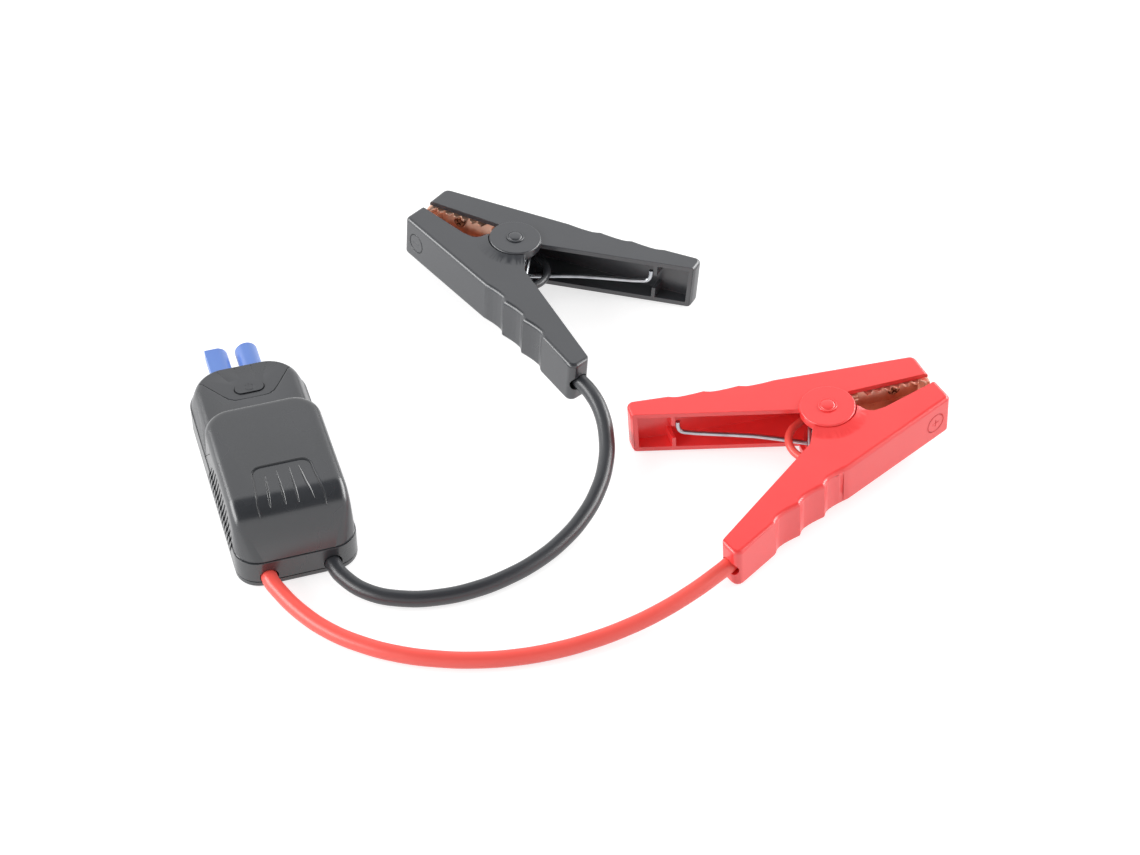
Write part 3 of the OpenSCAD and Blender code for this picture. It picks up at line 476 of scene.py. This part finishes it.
def cad_copy(node):
    """A copy of a CAD node's mesh in millimetres, one skin with its flat faces whole."""
    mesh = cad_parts[node].data.copy()
    normals = mesh.attributes.get("custom_normal")
    if normals:
        mesh.attributes.remove(normals)
    form = bmesh.new()
    form.from_mesh(mesh)
    bmesh.ops.scale(form, vec=(1 / MM, 1 / MM, 1 / MM), verts=form.verts)
    bmesh.ops.remove_doubles(form, verts=form.verts, dist=SAME_COPIED_POINT)
    bmesh.ops.dissolve_limit(form, angle_limit=COPIED_FLAT, verts=form.verts, edges=form.edges)
    form.to_mesh(mesh)
    form.free()
    mesh.materials.clear()
    return mesh


def rim_rounded(mesh, radius, wanted):
    """Rounds those edges of a mesh that a test picks."""
    form = bmesh.new()
    form.from_mesh(mesh)
    rounded_edges(form, [e for e in form.edges if wanted(e)], radius, segments=5)
    form.to_mesh(mesh)
    form.free()
    return mesh


def finished(name, mesh, body, skin, node, edge=0.0, segments=2, angle=38.0):
    """Puts a mesh in the scene in metres, on its body and for its CAD node.

    Edges sharper than the angle are broken by the edge's width, or only stay sharp where it is 0.
    """
    mesh.name = name
    mesh.transform(Matrix.Scale(MM, 4))
    mesh.materials.clear()
    mesh.materials.append(skin)
    mesh.shade_smooth()
    piece = link(name, mesh)
    if edge:
        bevel = piece.modifiers.new("edges", "BEVEL")
        bevel.width = edge * MM
        bevel.segments = segments
        bevel.limit_method = "ANGLE"
        bevel.angle_limit = math.radians(angle)
        bevel.use_clamp_overlap = False
        bevel.harden_normals = False
        normals = piece.modifiers.new("normals", "WEIGHTED_NORMAL")
        normals.keep_sharp = True
        normals.weight = 80
    else:
        mesh.set_sharp_from_angle(angle=math.radians(angle))
    if body:
        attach(piece, body)
    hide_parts(node)
    return piece


# ---------------------------------------------------------------- control box: sizes

seam_z, seam_step, lower_z = 12.2, 0.4, 2.9
top_w, top_front_y = case_w - 2 * seam_step, front_y + seam_step
tier_z, tier_edge_r, tier_draft, tier_inside_z = 20, 4, 1.7, 17.6
hump_z, hump_edge_r, hump_draft, hump_inside_z = 31, 4, 0.4, 28.6
hump_reach, hump_front_r = 18, 12.5
hump_half = top_w / 2 - hump_draft
hump_front_axis_y = top_front_y + 5.6 + hump_front_r
hump_rear_top_y = hump_reach - 2

button_x, button_y, button_l, button_w, button_gap = 0.4, rear_y - 15.8, 11.6, 5.4, 0.35
button_top_z = tier_z - 0.1
panel_z, panel_front_y = 19.3, button_y - 5.7
plug_x, plug_z, barrel_d, barrel_pitch, plug_gap = -1, 10, 9.2, 12.2, 0.15

screw_x, screw_front_y, screw_rear_y = case_w / 2 - 5.6, front_y + 8.8, rear_y - 15
screw_bore_r, screw_bore_top_z, post_r = 1.33, 15.9, 3
POSTS = [(0, screw_front_y), (screw_x, screw_rear_y), (-screw_x, screw_rear_y)]

# ---------------------------------------------------------------- control box: top shell


def tier():
    """The low step at the plug end."""
    corner = case_rear_r - 0.6
    x = top_w / 2 - tier_draft - corner
    form = bmesh.new()
    for side in (-1, 1):
        for y in (front_y + 12 + corner, rear_y - 0.2 - corner):
            add_disc(form, corner, tier_edge_r, Matrix.Translation((side * x, y, tier_z - tier_edge_r)))
    foot = rounded(top_w, top_front_y, rear_y - seam_step, case_front_r - seam_step, case_rear_r - seam_step)
    add_foot(form, foot, 5.0, seam_z + 0.5)
    return wrapped(form)


def hump(place=None):
    """The high step, with its long round front."""
    corner = case_front_r + 1.3
    form = bmesh.new()
    for side in (-1, 1):
        front_at = (side * (hump_half - hump_edge_r), hump_front_axis_y, hump_z - hump_front_r)
        rear_at = (side * (hump_half - corner), hump_rear_top_y - corner, hump_z - hump_edge_r)
        add_disc(form, hump_front_r, hump_edge_r, Matrix.Translation(front_at) @ turn(90, (0, 1, 0)))
        add_disc(form, corner, hump_edge_r, Matrix.Translation(rear_at))
    add_foot(form, rounded(top_w, top_front_y, hump_reach, case_front_r, case_front_r), 4.0, seam_z + 0.5)
    return wrapped(form, place)


def closed_shell():
    """Tier and hump in one, cut off at the seam, whose edge is broken."""
    form = bmesh.new()
    form.from_mesh(carve(tier(), ("UNION", hump())))
    bmesh.ops.bisect_plane(form, geom=form.verts[:] + form.edges[:] + form.faces[:],
                           plane_co=(0, 0, seam_z), plane_no=(0, 0, -1), clear_outer=True)
    bmesh.ops.holes_fill(form, edges=[e for e in form.edges if e.is_boundary])
    at_seam = [e for e in form.edges if all(v.co.z < seam_z + 0.01 for v in e.verts)]
    rounded_edges(form, at_seam, 0.25, segments=2)
    return solid(form)


def shell_room():
    """The space inside the top shell, round its screw posts.

    The rooms overlap by a little in height, so that no two of their faces lie in one plane.
    """
    inside_r = 8
    width, rear = 2 * (hump_half - case_wall - 0.4), hump_rear_top_y - case_wall - 1
    slope_y = hump_front_axis_y - hump_front_r
    tier_room_w = 2 * (top_w / 2 - tier_draft - case_wall - 0.5)
    tier_rear = rear_y - seam_step - case_wall - 1.4
    rooms = [
        (width, front_y + 4.6, rear, lower_z - 1, 14.0),
        (width, slope_y + case_wall + 0.6, rear, seam_z - 0.1, hump_z - hump_front_r + 3),
        (width - 2, hump_front_axis_y - 3, rear - 2, seam_z - 0.15, hump_inside_z),
        (tier_room_w, -10, tier_rear, lower_z - 1.05, tier_inside_z)]
    rooms = [prism(rounded(w, y0, y1, inside_r, inside_r), z0, z1) for w, y0, y1, z0, z1 in rooms]
    room = carve(rooms[0], *[("UNION", other) for other in rooms[1:]])
    for x, y in POSTS:
        room = carve(room, ("DIFFERENCE", prism(circle(x, y, post_r, 32), 0, 40)))
    return room


def side_panel_room(side):
    """Room for the lower shell's panel that rises into the hump's side, with a hair's gap round it."""
    gap, beyond, half_t = 0.12, 4.0, 1.9
    rear, top = hump_reach - 7, hump_z - hump_edge_r - 1
    outline = [
        (rear + gap, 11.0), (rear + gap, seam_z), (rear - 14 + gap, top + gap),
        (hump_front_axis_y + 2 - gap, top + gap), (hump_front_axis_y - 4 - gap, top - 3 + gap),
        (front_y + 9 - gap, seam_z), (front_y + 9 - gap, 11.0)]
    low, high = sorted((-side * (half_t + gap), side * beyond))
    # the outline's x runs along the box, its y upwards and the prism's height across the box
    across = Matrix(((0, 0, 1, side * (case_w / 2 - half_t)), (1, 0, 0, 0), (0, 1, 0, 0), (0, 0, 0, 1)))
    return prism(outline, low, high, across)


def panel_outline():
    """The sunk panel round the button: a short front edge, and sides that spread towards the plug."""
    corner_r, spread = 1.4, 0.7
    half, reach = button_l / 2 + 1.9, rear_y - panel_front_y + 3
    right = [(half - corner_r, 0), (half - 0.4, 0.25), (half + 0.2, 0.6 * corner_r),
             (half + 0.4 + spread * corner_r, corner_r), (half + spread * reach, reach)]
    left = [(-x, y) for x, y in right]
    outline = left[:1] + right + left[:0:-1]
    return [(x + button_x, y + panel_front_y) for x, y in outline]


# heights and how much wider the panel is there: its rim is a soft curve
PANEL_LIP = [(panel_z, 0.0), (19.36, 0.06), (19.88, 0.76), (19.96, 0.93), (20.0, 1.12), (20.03, 1.35),
             (21.5, 1.4)]
HAIRLINES = [((-9.9, 49.6), (-6.8, 42.2)), ((-2.9, 49.8), (-2.4, 43)), ((3.8, 49.8), (3.9, 42.9)),
             ((10.1, 49.6), (7.2, 42.2))]


def panel_grooves():
    """A fine groove along the foot of the panel's rim, and the four hairlines at its plug end."""
    outline = panel_outline()
    plug_end, last_y = 6, 54
    foot = [(x, min(y, last_y), panel_z + 0.2) for x, y in outline[plug_end:] + outline[:plug_end]]
    made = [rod("panel_foot", foot, 0.42, sides=2, steps=4)]
    for start, end in HAIRLINES:
        route = [(*start, panel_z + 0.08), (*end, panel_z + 0.08)]
        made.append(rod("hairline", route, 0.22, sides=2, steps=1, taper=(1, 0.4)))
    return made


# The arch mark on the hump: it lies 0.5 mm down at its top edge and runs out to nothing on the round front.
arch_x, arch_top_y, arch_depth = 0.8, -20.8, 0.5
arch_corner_r, arch_corner_x = 3.8, 7.5
arch_corner_y = -24.6
# the floor's tilt in degrees, and its fall in mm for each mm along the box
arch_tilt, arch_fall = 0.8, 0.014
RIBS = [((-5.9, -25.6), (-6.6, -34.2), (-7.3, -41.0)), ((-1.3, -23.8), (-1.4, -33.6), (-1.4, -41.0)),
        ((3.7, -23.2), (3.5, -33.2), (3.5, -41.0)), ((7.3, -23.4), (8.1, -33.0), (9.4, -40.8))]


def arch_floor_z(y, share=1.0):
    """Height of the arch's floor, or of a place only a share of the way down to it."""
    top = hump_z
    if y <= hump_front_axis_y:
        top = hump_z - hump_front_r + math.sqrt(hump_front_r ** 2 - (y - hump_front_axis_y) ** 2)
    return top - share * (arch_depth + arch_fall * (y - arch_top_y))


def arch_recess():
    """What the arch mark takes off the hump: its outline, down to a copy of the hump tilted under it."""
    outline = ([(arch_x - 13.2, -45), (arch_x + 13.2, -45), (arch_x + 12.6, -38.5), (arch_x + 11.3, -27)]
               + arc(arch_x + arch_corner_x, arch_corner_y, arch_corner_r, 6, 90)
               + arc(arch_x - arch_corner_x, arch_corner_y, arch_corner_r, 90, 174)
               + [(arch_x - 11.3, -27), (arch_x - 12.6, -38.5)])
    sunk = (Matrix.Translation((0, arch_top_y, hump_z - arch_depth)) @ turn(-arch_tilt, (1, 0, 0))
            @ Matrix.Translation((0, -arch_top_y, -hump_z)))
    return carve(prism(outline, 20, 34), ("DIFFERENCE", hump(sunk)))


def arch_brim():
    """The soft lip of the arch's upper edge, thin where it starts on the round front."""
    flank = [(-12.7, -43.5), (-12.65, -41.5), (-12.6, -39.5), (-12.2, -36.5), (-11.9, -33.5), (-11.6, -30),
             (-11.3, -27)]
    left = [(arch_x + x, y) for x, y in flank]
    left += arc(arch_x - arch_corner_x, arch_corner_y, arch_corner_r, 174, 90, 5)
    left.append((arch_x - 3.5, arch_top_y))
    outline = left + [(2 * arch_x - x, y) for x, y in left[::-1]]
    ends = [0.3, 0.6, 0.85]
    taper = ends + [1] * (len(outline) - 2 * len(ends)) + ends[::-1]
    route = [(x, y, arch_floor_z(y, 0.4) + 0.1) for x, y in outline]
    return rod("arch_brim", route, 0.55, sides=2, steps=3, taper=taper)


def rib(start, middle, end):
    """A groove down the arch's floor by way of a middle point, fine at both its ends."""
    halves = ((start, middle, (0, 1, 2, 3)), (middle, end, (0, 1, 2, 3, 4)))
    points = [(a[0] + (b[0] - a[0]) * k / 4, a[1] + (b[1] - a[1]) * k / 4) for a, b, ks in halves for k in ks]
    route = [(x, y, arch_floor_z(y) + 0.12) for x, y in points]
    return rod("rib", route, 0.62, sides=3, steps=2, taper=(0.34, 0.5, 0.7, 0.88, 1, 1, 0.85, 0.62, 0.34))


def top_shell():
    """The box's upper half: its body, less its room and openings, less its fine lines."""
    button_hole = stadium(button_x, button_y, button_l + 2 * button_gap, button_w + 2 * button_gap)
    plug_hole = rectangle(plug_x, rear_y, barrel_pitch + barrel_d + 2 * plug_gap, 11.2)
    plug_half_h = barrel_d / 2 + plug_gap
    openings = [shell_room(), side_panel_room(1), side_panel_room(-1), flared(panel_outline(), PANEL_LIP),
                prism(button_hole, 14, 26), prism(plug_hole, plug_z - plug_half_h, plug_z + plug_half_h)]
    openings += [prism(circle(x, y, screw_bore_r, 24), 0, screw_bore_top_z) for x, y in POSTS]
    body = carve(closed_shell(), *[("DIFFERENCE", opening) for opening in openings])
    lines = [arch_recess(), arch_brim()] + [rib(*way) for way in RIBS] + panel_grooves()
    return carve(body, *[("DIFFERENCE", line) for line in lines])


finished("box_top_shell", top_shell(), "set", SHELL_BLACK, "top_shell", angle=32)

# ---------------------------------------------------------------- control box: other pieces


def under_edge(edge):
    """Whether an edge is the cover's outer one underneath, and not one of its screw holes."""
    clear_of_post = 4
    return all(v.co.z < 0.1 and all(math.dist(v.co.xy, post) > clear_of_post for post in POSTS)
               for v in edge.verts)


def button_rim(edge):
    """Whether an edge is one of the sharp ones round the button's top."""
    return (all(v.co.z > button_top_z - 0.02 for v in edge.verts) and len(edge.link_faces) == 2
            and edge.calc_face_angle() > 0.5)


def boost_button():
    """The button, with the generic standby mark cut in it: an open ring and a bar."""
    top = Matrix.Translation((button_x, button_y, button_top_z))
    ring = hoop(1.75, 0.2, top @ turn(125, (0, 0, 1)), sweep=290)
    bar = prism(rectangle(0, 1.2, 0.4, 1.8), -0.2, 0.5, top)
    return carve(rim_rounded(cad_copy("boost_button"), 0.5, button_rim), ("DIFFERENCE", ring),
                 ("DIFFERENCE", bar))


finished("box_lower_shell", cad_copy("lower_shell"), "set", SHELL_BLACK, "lower_shell",
         edge=0.16)
finished("box_bottom_cover", rim_rounded(cad_copy("bottom_cover"), 1.3, under_edge), "set", SHELL_BLACK,
         "bottom_cover", edge=0.12)
finished("plug_barrels", cad_copy("plug_housing"), "set", PLUG_BLUE, "plug_housing",
         edge=0.35, segments=3)
finished("boost_button_cap", boost_button(), "button", BUTTON_BLACK, "boost_button",
         angle=35)

# ---------------------------------------------------------------- clamps, in their own place

# a jaw's crimp: how far along the jaw and behind its edge it starts, and its length
crimp_u, crimp_v, crimp_l = 27, 6.4, 5.5
# height of the link lead's crimp on the cable half
lead_z = 4.3


def grips(start, end, depth, into, count=3):
    """Finger hollows along a handle's outer wall: each deepens slowly and ends in a step."""
    step_at = 0.72
    made = []
    for i in range(count):
        for t in (0, 0.18, 0.36, 0.54, 0.72, 0.8, 0.88, 0.95):
            turn_of = t / step_at if t < step_at else 1 + (t - step_at) / (1 - step_at)
            press = depth * math.sin(math.pi / 2 * turn_of)
            made.append(tuple(start[k] + (end[k] - start[k]) * (i + t) / count + into[k] * press
                              for k in (0, 1)))
    return made + [end]


# Each handle is kept inside a solid whose rims are round, so its outer wall, tip and end get soft edges
# while the edges of its mouth stay crisp. Round the pivot that solid makes room for the handle's own
# round forms: the free half's lug, with its rim broken, and the cable half's cone.
SOFT = {
    "outer": [(-44.5, -2), (0, -14), (73, 8)] + arc(70.1, 27.2, 2.9, 0, 84, 4)
    + grips((14, 22.5), (56, 28), 0.9, (0.13, -0.99))[::-1] + arc(-39.6, 13.44, 3, 98, 172, 4),
    "inner": [(-43.8, 8), (0, 14), (15.6, -3), (62.9, -44.5)] + arc(56.4, -55.4, 3, -20, -118, 4)
    + grips((3, -31.5), (39, -49), 1.5, (0.44, 0.9))[::-1] + arc(-44.7, -8.1, 2.4, 245, 175, 4),
}
lug_room_r, lug_room_top, lug_rim = lug_r + 0.03, lug_top + 0.02, 0.4
cone_room_r, cone_room_top = cone_r + 0.3, 14
ROOM = {
    "outer": [(0, -lug_room_top), (lug_r - lug_rim, -lug_room_top), (lug_room_r, lug_rim - lug_top),
              (lug_room_r, lug_top - lug_rim), (lug_r - lug_rim, lug_room_top), (0, lug_room_top)],
    "inner": [(0, -cone_room_top), (cone_room_r, -cone_room_top), (cone_room_r, cone_room_top),
              (0, cone_room_top)],
}
THICKNESS = {"outer": free_half_t, "inner": cable_half_t}
RIM_R = {"outer": 1.6, "inner": 1.8}
# the CAD's word for each half, and this script's
WORDS = {"outer": "free", "inner": "cable"}


def body_of(side, half):
    """The body that a half rides on: only the free half moves."""
    return f"{side}_free_half" if half == "outer" else "set"


def handle(side, half, marks=()):
    """One half of a clamp: the CAD's, with soft rims and with its marks cut in."""
    slack = 0.01
    half_t = THICKNESS[half] / 2 + slack
    soft = carve(prism(grown(SOFT[half], slack), -half_t, half_t, rim=RIM_R[half]),
                 ("UNION", turned(ROOM[half])))
    node = f"{side}_{half}_handle"
    mesh = carve(cad_copy(node), ("INTERSECT", placed(soft, CLAMP_AT[side])),
                 *[("DIFFERENCE", mark) for mark in marks])
    finished(f"{side}_clamp_{WORDS[half]}_half", mesh, body_of(side, half), CLAMP[side], node,
             edge=0.18, angle=40)


# the mark's own place on the cable half's outer wall: its X runs along the wall, its Z out of it
along_wall, out_of_wall = (Vector(v).normalized() for v in ((0.918, -0.396, 0), (-0.396, -0.918, 0)))
MARK_AT = Matrix(((along_wall.x, 0, out_of_wall.x, -40.16), (along_wall.y, 0, out_of_wall.y, -12.67),
                  (0, 1, 0, 0), (0, 0, 0, 1)))
# width and height of the bars of a minus and of a plus
BARS = {"black": [(3.4, 0.36)], "red": [(3.4, 0.36), (0.36, 3.4)]}


def pole_mark(side):
    """What cuts the clamp's pole mark: a fine ring round a minus or a plus."""
    at = CLAMP_AT[side] @ MARK_AT
    bars = [prism(rectangle(0, 0, w, h), -0.16, 0.6, at) for w, h in BARS[side]]
    return [hoop(4.2, 0.13, at)] + bars


def jaw(side, half):
    """A copper jaw and its screw."""
    word, body = WORDS[half], body_of(side, half)
    for piece, node, skin, slot, edge in (
            (f"{side}_copper_{word}_jaw", f"{side}_{half}_jaw", COPPER, "copper", 0.14),
            (f"{side}_{word}_jaw_screw", f"{side}_{half}_jaw_screw", WASHED_STEEL, "steel", 0.1)):
        finished(piece, cad_copy(node), body, skin, node, edge=edge)


# ---------------------------------------------------------------- clamps: pin, spring and link lead

pin_r, pin_foot = 3, 2.4
# the pin's head, a low dome with a ring groove in it: its radius at each height above the disc it lies on
HEAD = [(3.5, 0), (3.66, 0.12), (3.66, 0.42), (3.5, 0.55), (3.05, 0.55), (2.95, 0.35), (2.85, 0.55),
        (2.6, 0.74), (1.9, 0.88), (1.0, 0.95), (0, 0.97)]
PIN = ([(0, -lug_top - pin_foot), (pin_r, -lug_top - pin_foot), (pin_r, lug_top)]
       + [(radius, lug_top + height) for radius, height in HEAD])

wire_r, lead_r = 0.9, 1.6
coil_r, coil_pitch, coil_turns, coil_steps = 5.1, 2.35, 3, 72
leg_out, leg_in = Vector((55.6, 17.4)), Vector((23, -35.2))


def leg_angle(to, side):
    """Direction of a leg that runs from the coil's rim to a point."""
    return math.atan2(to.y, to.x) + side * math.asin(coil_r / to.length)


def spring_route():
    """The spring's wire: hooked leg in the free half, coil round the pin, leg in the cable half."""
    first, last = leg_angle(leg_out, 1) - math.pi / 2, leg_angle(leg_in, -1) + math.pi / 2
    sweep = coil_turns * math.tau + last - first
    rise = coil_pitch * sweep / math.tau
    shares = [i / coil_steps for i in range(coil_steps + 1)]
    coil = [(coil_r * math.cos(first + sweep * s), coil_r * math.sin(first + sweep * s), rise * (s - 0.5))
            for s in shares]
    out = leg_out
    hook = [(out.x, out.y, 5.4), (out.x, out.y, 2.7), (out.x - 0.9, out.y - 0.4, 0.4),
            (out.x - 2.6, out.y - 1.1, -0.3), (out.x / 2, out.y / 2 - 2.1, -rise / 4)]
    middle = ((leg_in.x + coil[-1][0]) / 2, (leg_in.y + coil[-1][1]) / 2, rise / 2 - 0.5)
    return hook + coil + [middle, (leg_in.x, leg_in.y, rise / 2 - 1)]


# where each half's jaw edge starts, its turn in degrees, and the side that the half lies on
JAW_EDGE = {"outer": (-43.7, 4.6, 2.1, 1), "inner": (-45.3, 0.7, -15.9, -1)}


def in_crimp(half, along, z):
    """A point in line with a half's crimp, so far along from where the crimp starts."""
    x, y, degrees, behind = JAW_EDGE[half]
    t, u, v = math.radians(degrees), crimp_u + along, behind * crimp_v
    return (x + u * math.cos(t) - v * math.sin(t), y + u * math.sin(t) + v * math.cos(t), z)


# from the crimp on the free half's jaw, in a loop round the pivot, to the one on the cable half's jaw
LEAD_ROUTE = ([in_crimp("outer", 1.6, 0), in_crimp("outer", crimp_l + 0.5, 0), (0, 10.2, 0)]
              + [(x, y, 0) for x, y in arc(5.5, -5.6, 11.8, 70, -54, 8)]
              + [(6.5, -18, 0.9), (-0.5, -18.4, 2.6), in_crimp("inner", crimp_l + 2.5, lead_z - 0.2),
                 in_crimp("inner", crimp_l, lead_z), in_crimp("inner", 1.6, lead_z)])


def across_hinge(piece):
    """Bakes a piece's place into its mesh; it is not bent across the pivot."""
    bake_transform(piece)


def pivot(side):
    """The pin with its head, and the cap on its far end."""
    finished(f"{side}_pivot_pin_head", turned(PIN, CLAMP_AT[side]), "set", CLAMP[side],
             f"{side}_pivot_pin", angle=35)
    finished(f"{side}_pivot_pin_cap", cad_copy(f"{side}_pin_cap"), "set", CLAMP[side],
             f"{side}_pin_cap", edge=0.2)


def bent_pieces(side):
    """The spring and the link lead, which run from the free half to the cable half."""
    at = CLAMP_AT[side]
    spring, lead = f"{side}_torsion_spring", f"{side}_link_lead_sheath"
    coil = rod(spring, [at @ Vector(p) for p in spring_route()], wire_r, sides=3, steps=4)
    across_hinge(finished(spring, coil, None, STEEL, f"{side}_spring", angle=60))
    sheath = rod(lead, [at @ Vector(p) for p in LEAD_ROUTE], lead_r, sides=4, steps=8)
    across_hinge(finished(lead, sheath, None, SHEATH[side], f"{side}_link_lead", angle=60))


for side in SIDES:
    handle(side, "outer")
    handle(side, "inner", pole_mark(side))
    jaw(side, "outer")
    jaw(side, "inner")
    pivot(side)
    bent_pieces(side)

# ---------------------------------------------------------------- CAD nodes that keep their shape

SKINS = {"case_screws": STEEL, "tact_switch": RELAY_BLACK, "circuit_board": BOARD_GREEN,
         "relays": RELAY_BLACK, "capacitor": SLEEVE_BLUE, "cable_saddle": SADDLE_GREY, "plug_contacts": GOLD}
for node, skin in SKINS.items():
    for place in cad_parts[node].material_slots:
        place.material = skin

# ---------------------------------------------------------------- studio

WHITE = (1, 1, 1, 1)
WORLD_LEVEL = 0.38
# how white the floor looks: its own glow, and the share of lamp light that draws the shadows on it
FLOOR_GLOW, FLOOR_SHADE = 0.72, 0.5
CARD_AT, CARD_HALF = (0.05, -0.30, 1.20), 1.05


def studio_piece(name, half, skin, at=(0, 0, 0)):
    """A flat square sheet of the studio, not part of the object."""
    mesh = bpy.data.meshes.new(name)
    sheet = bmesh.new()
    bmesh.ops.create_grid(sheet, x_segments=1, y_segments=1, size=half)
    sheet.to_mesh(mesh)
    sheet.free()
    mesh.materials.append(skin)
    piece = link(name, mesh)
    piece.location = at
    return piece


def seen_white(tree, shade, white, output):
    """The shade for light, and a plain white for camera, gloss and glass."""
    path = add(tree, "ShaderNodeLightPath").outputs
    seen = add(tree, "ShaderNodeMath", {0: path["Is Camera Ray"], 1: path["Is Glossy Ray"]},
               {"operation": "MAXIMUM"})
    seen = add(tree, "ShaderNodeMath", {0: seen.outputs[0], 1: path["Is Transmission Ray"]},
               {"operation": "MAXIMUM"})
    both = add(tree, "ShaderNodeMixShader", {0: seen.outputs[0], 1: shade.outputs[0], 2: white.outputs[0]})
    tree.links.new(both.outputs[0], tree.nodes[output].inputs["Surface"])


def matt_paper(name, code):
    """Matt paper of one colour: it takes shadows and mirrors nothing."""
    made, tree, shader = material(name)
    shader.inputs["Base Color"].default_value = linear(code)
    shader.inputs["Roughness"].default_value = 0.9
    return made, tree, shader


paper, tree, shader = matt_paper("white_paper_sweep", "#f0f0f0")
glow = add(tree, "ShaderNodeEmission", {"Color": WHITE, "Strength": FLOOR_GLOW})
dim = add(tree, "ShaderNodeBsdfDiffuse", {"Color": (FLOOR_SHADE, FLOOR_SHADE, FLOOR_SHADE, 1)})
lit = add(tree, "ShaderNodeAddShader", {0: glow.outputs[0], 1: dim.outputs[0]})
seen_white(tree, shader, lit, "Material Output")
studio_piece("studio_floor", 6.0, paper)

world = bpy.data.worlds.new("studio")
scene.world = world
world.use_nodes = True
background = world.node_tree.nodes["Background"]
background.inputs["Color"].default_value = WHITE
background.inputs["Strength"].default_value = WORLD_LEVEL
plain = add(world.node_tree, "ShaderNodeBackground", {"Color": WHITE, "Strength": 1.0})
seen_white(world.node_tree, background, plain, "World Output")

# a dark card overhead, which only reflections see, gives the round edges their dark bands
card = studio_piece("studio_card", CARD_HALF, matt_paper("black_studio_card", "#141414")[0], CARD_AT)
for kind in ("camera", "diffuse", "transmission", "shadow"):
    setattr(card, f"visible_{kind}", False)


def softbox(name, place, size, watts, mirrored=True):
    """A lamp of a width and a height in metres that faces the object, and may show in its gloss."""
    lamp = bpy.data.lights.new(name, "AREA")
    lamp.shape = "RECTANGLE"
    lamp.size, lamp.size_y = size
    lamp.energy = watts
    holder = link(name, lamp)
    holder.location = place
    holder.visible_glossy = mirrored
    holder.rotation_euler = (Vector(place) - Vector((0.1, 0, 0))).to_track_quat("Z", "Y").to_euler()


softbox("overhead", (0.15, 0.15, 1.6), (0.9, 0.9), 2.5, mirrored=False)
softbox("left_strip", (-0.95, 0.15, 0.55), (1.5, 0.5), 14.0)
softbox("right_strip", (1.25, 0.15, 0.55), (1.5, 0.5), 16.0)
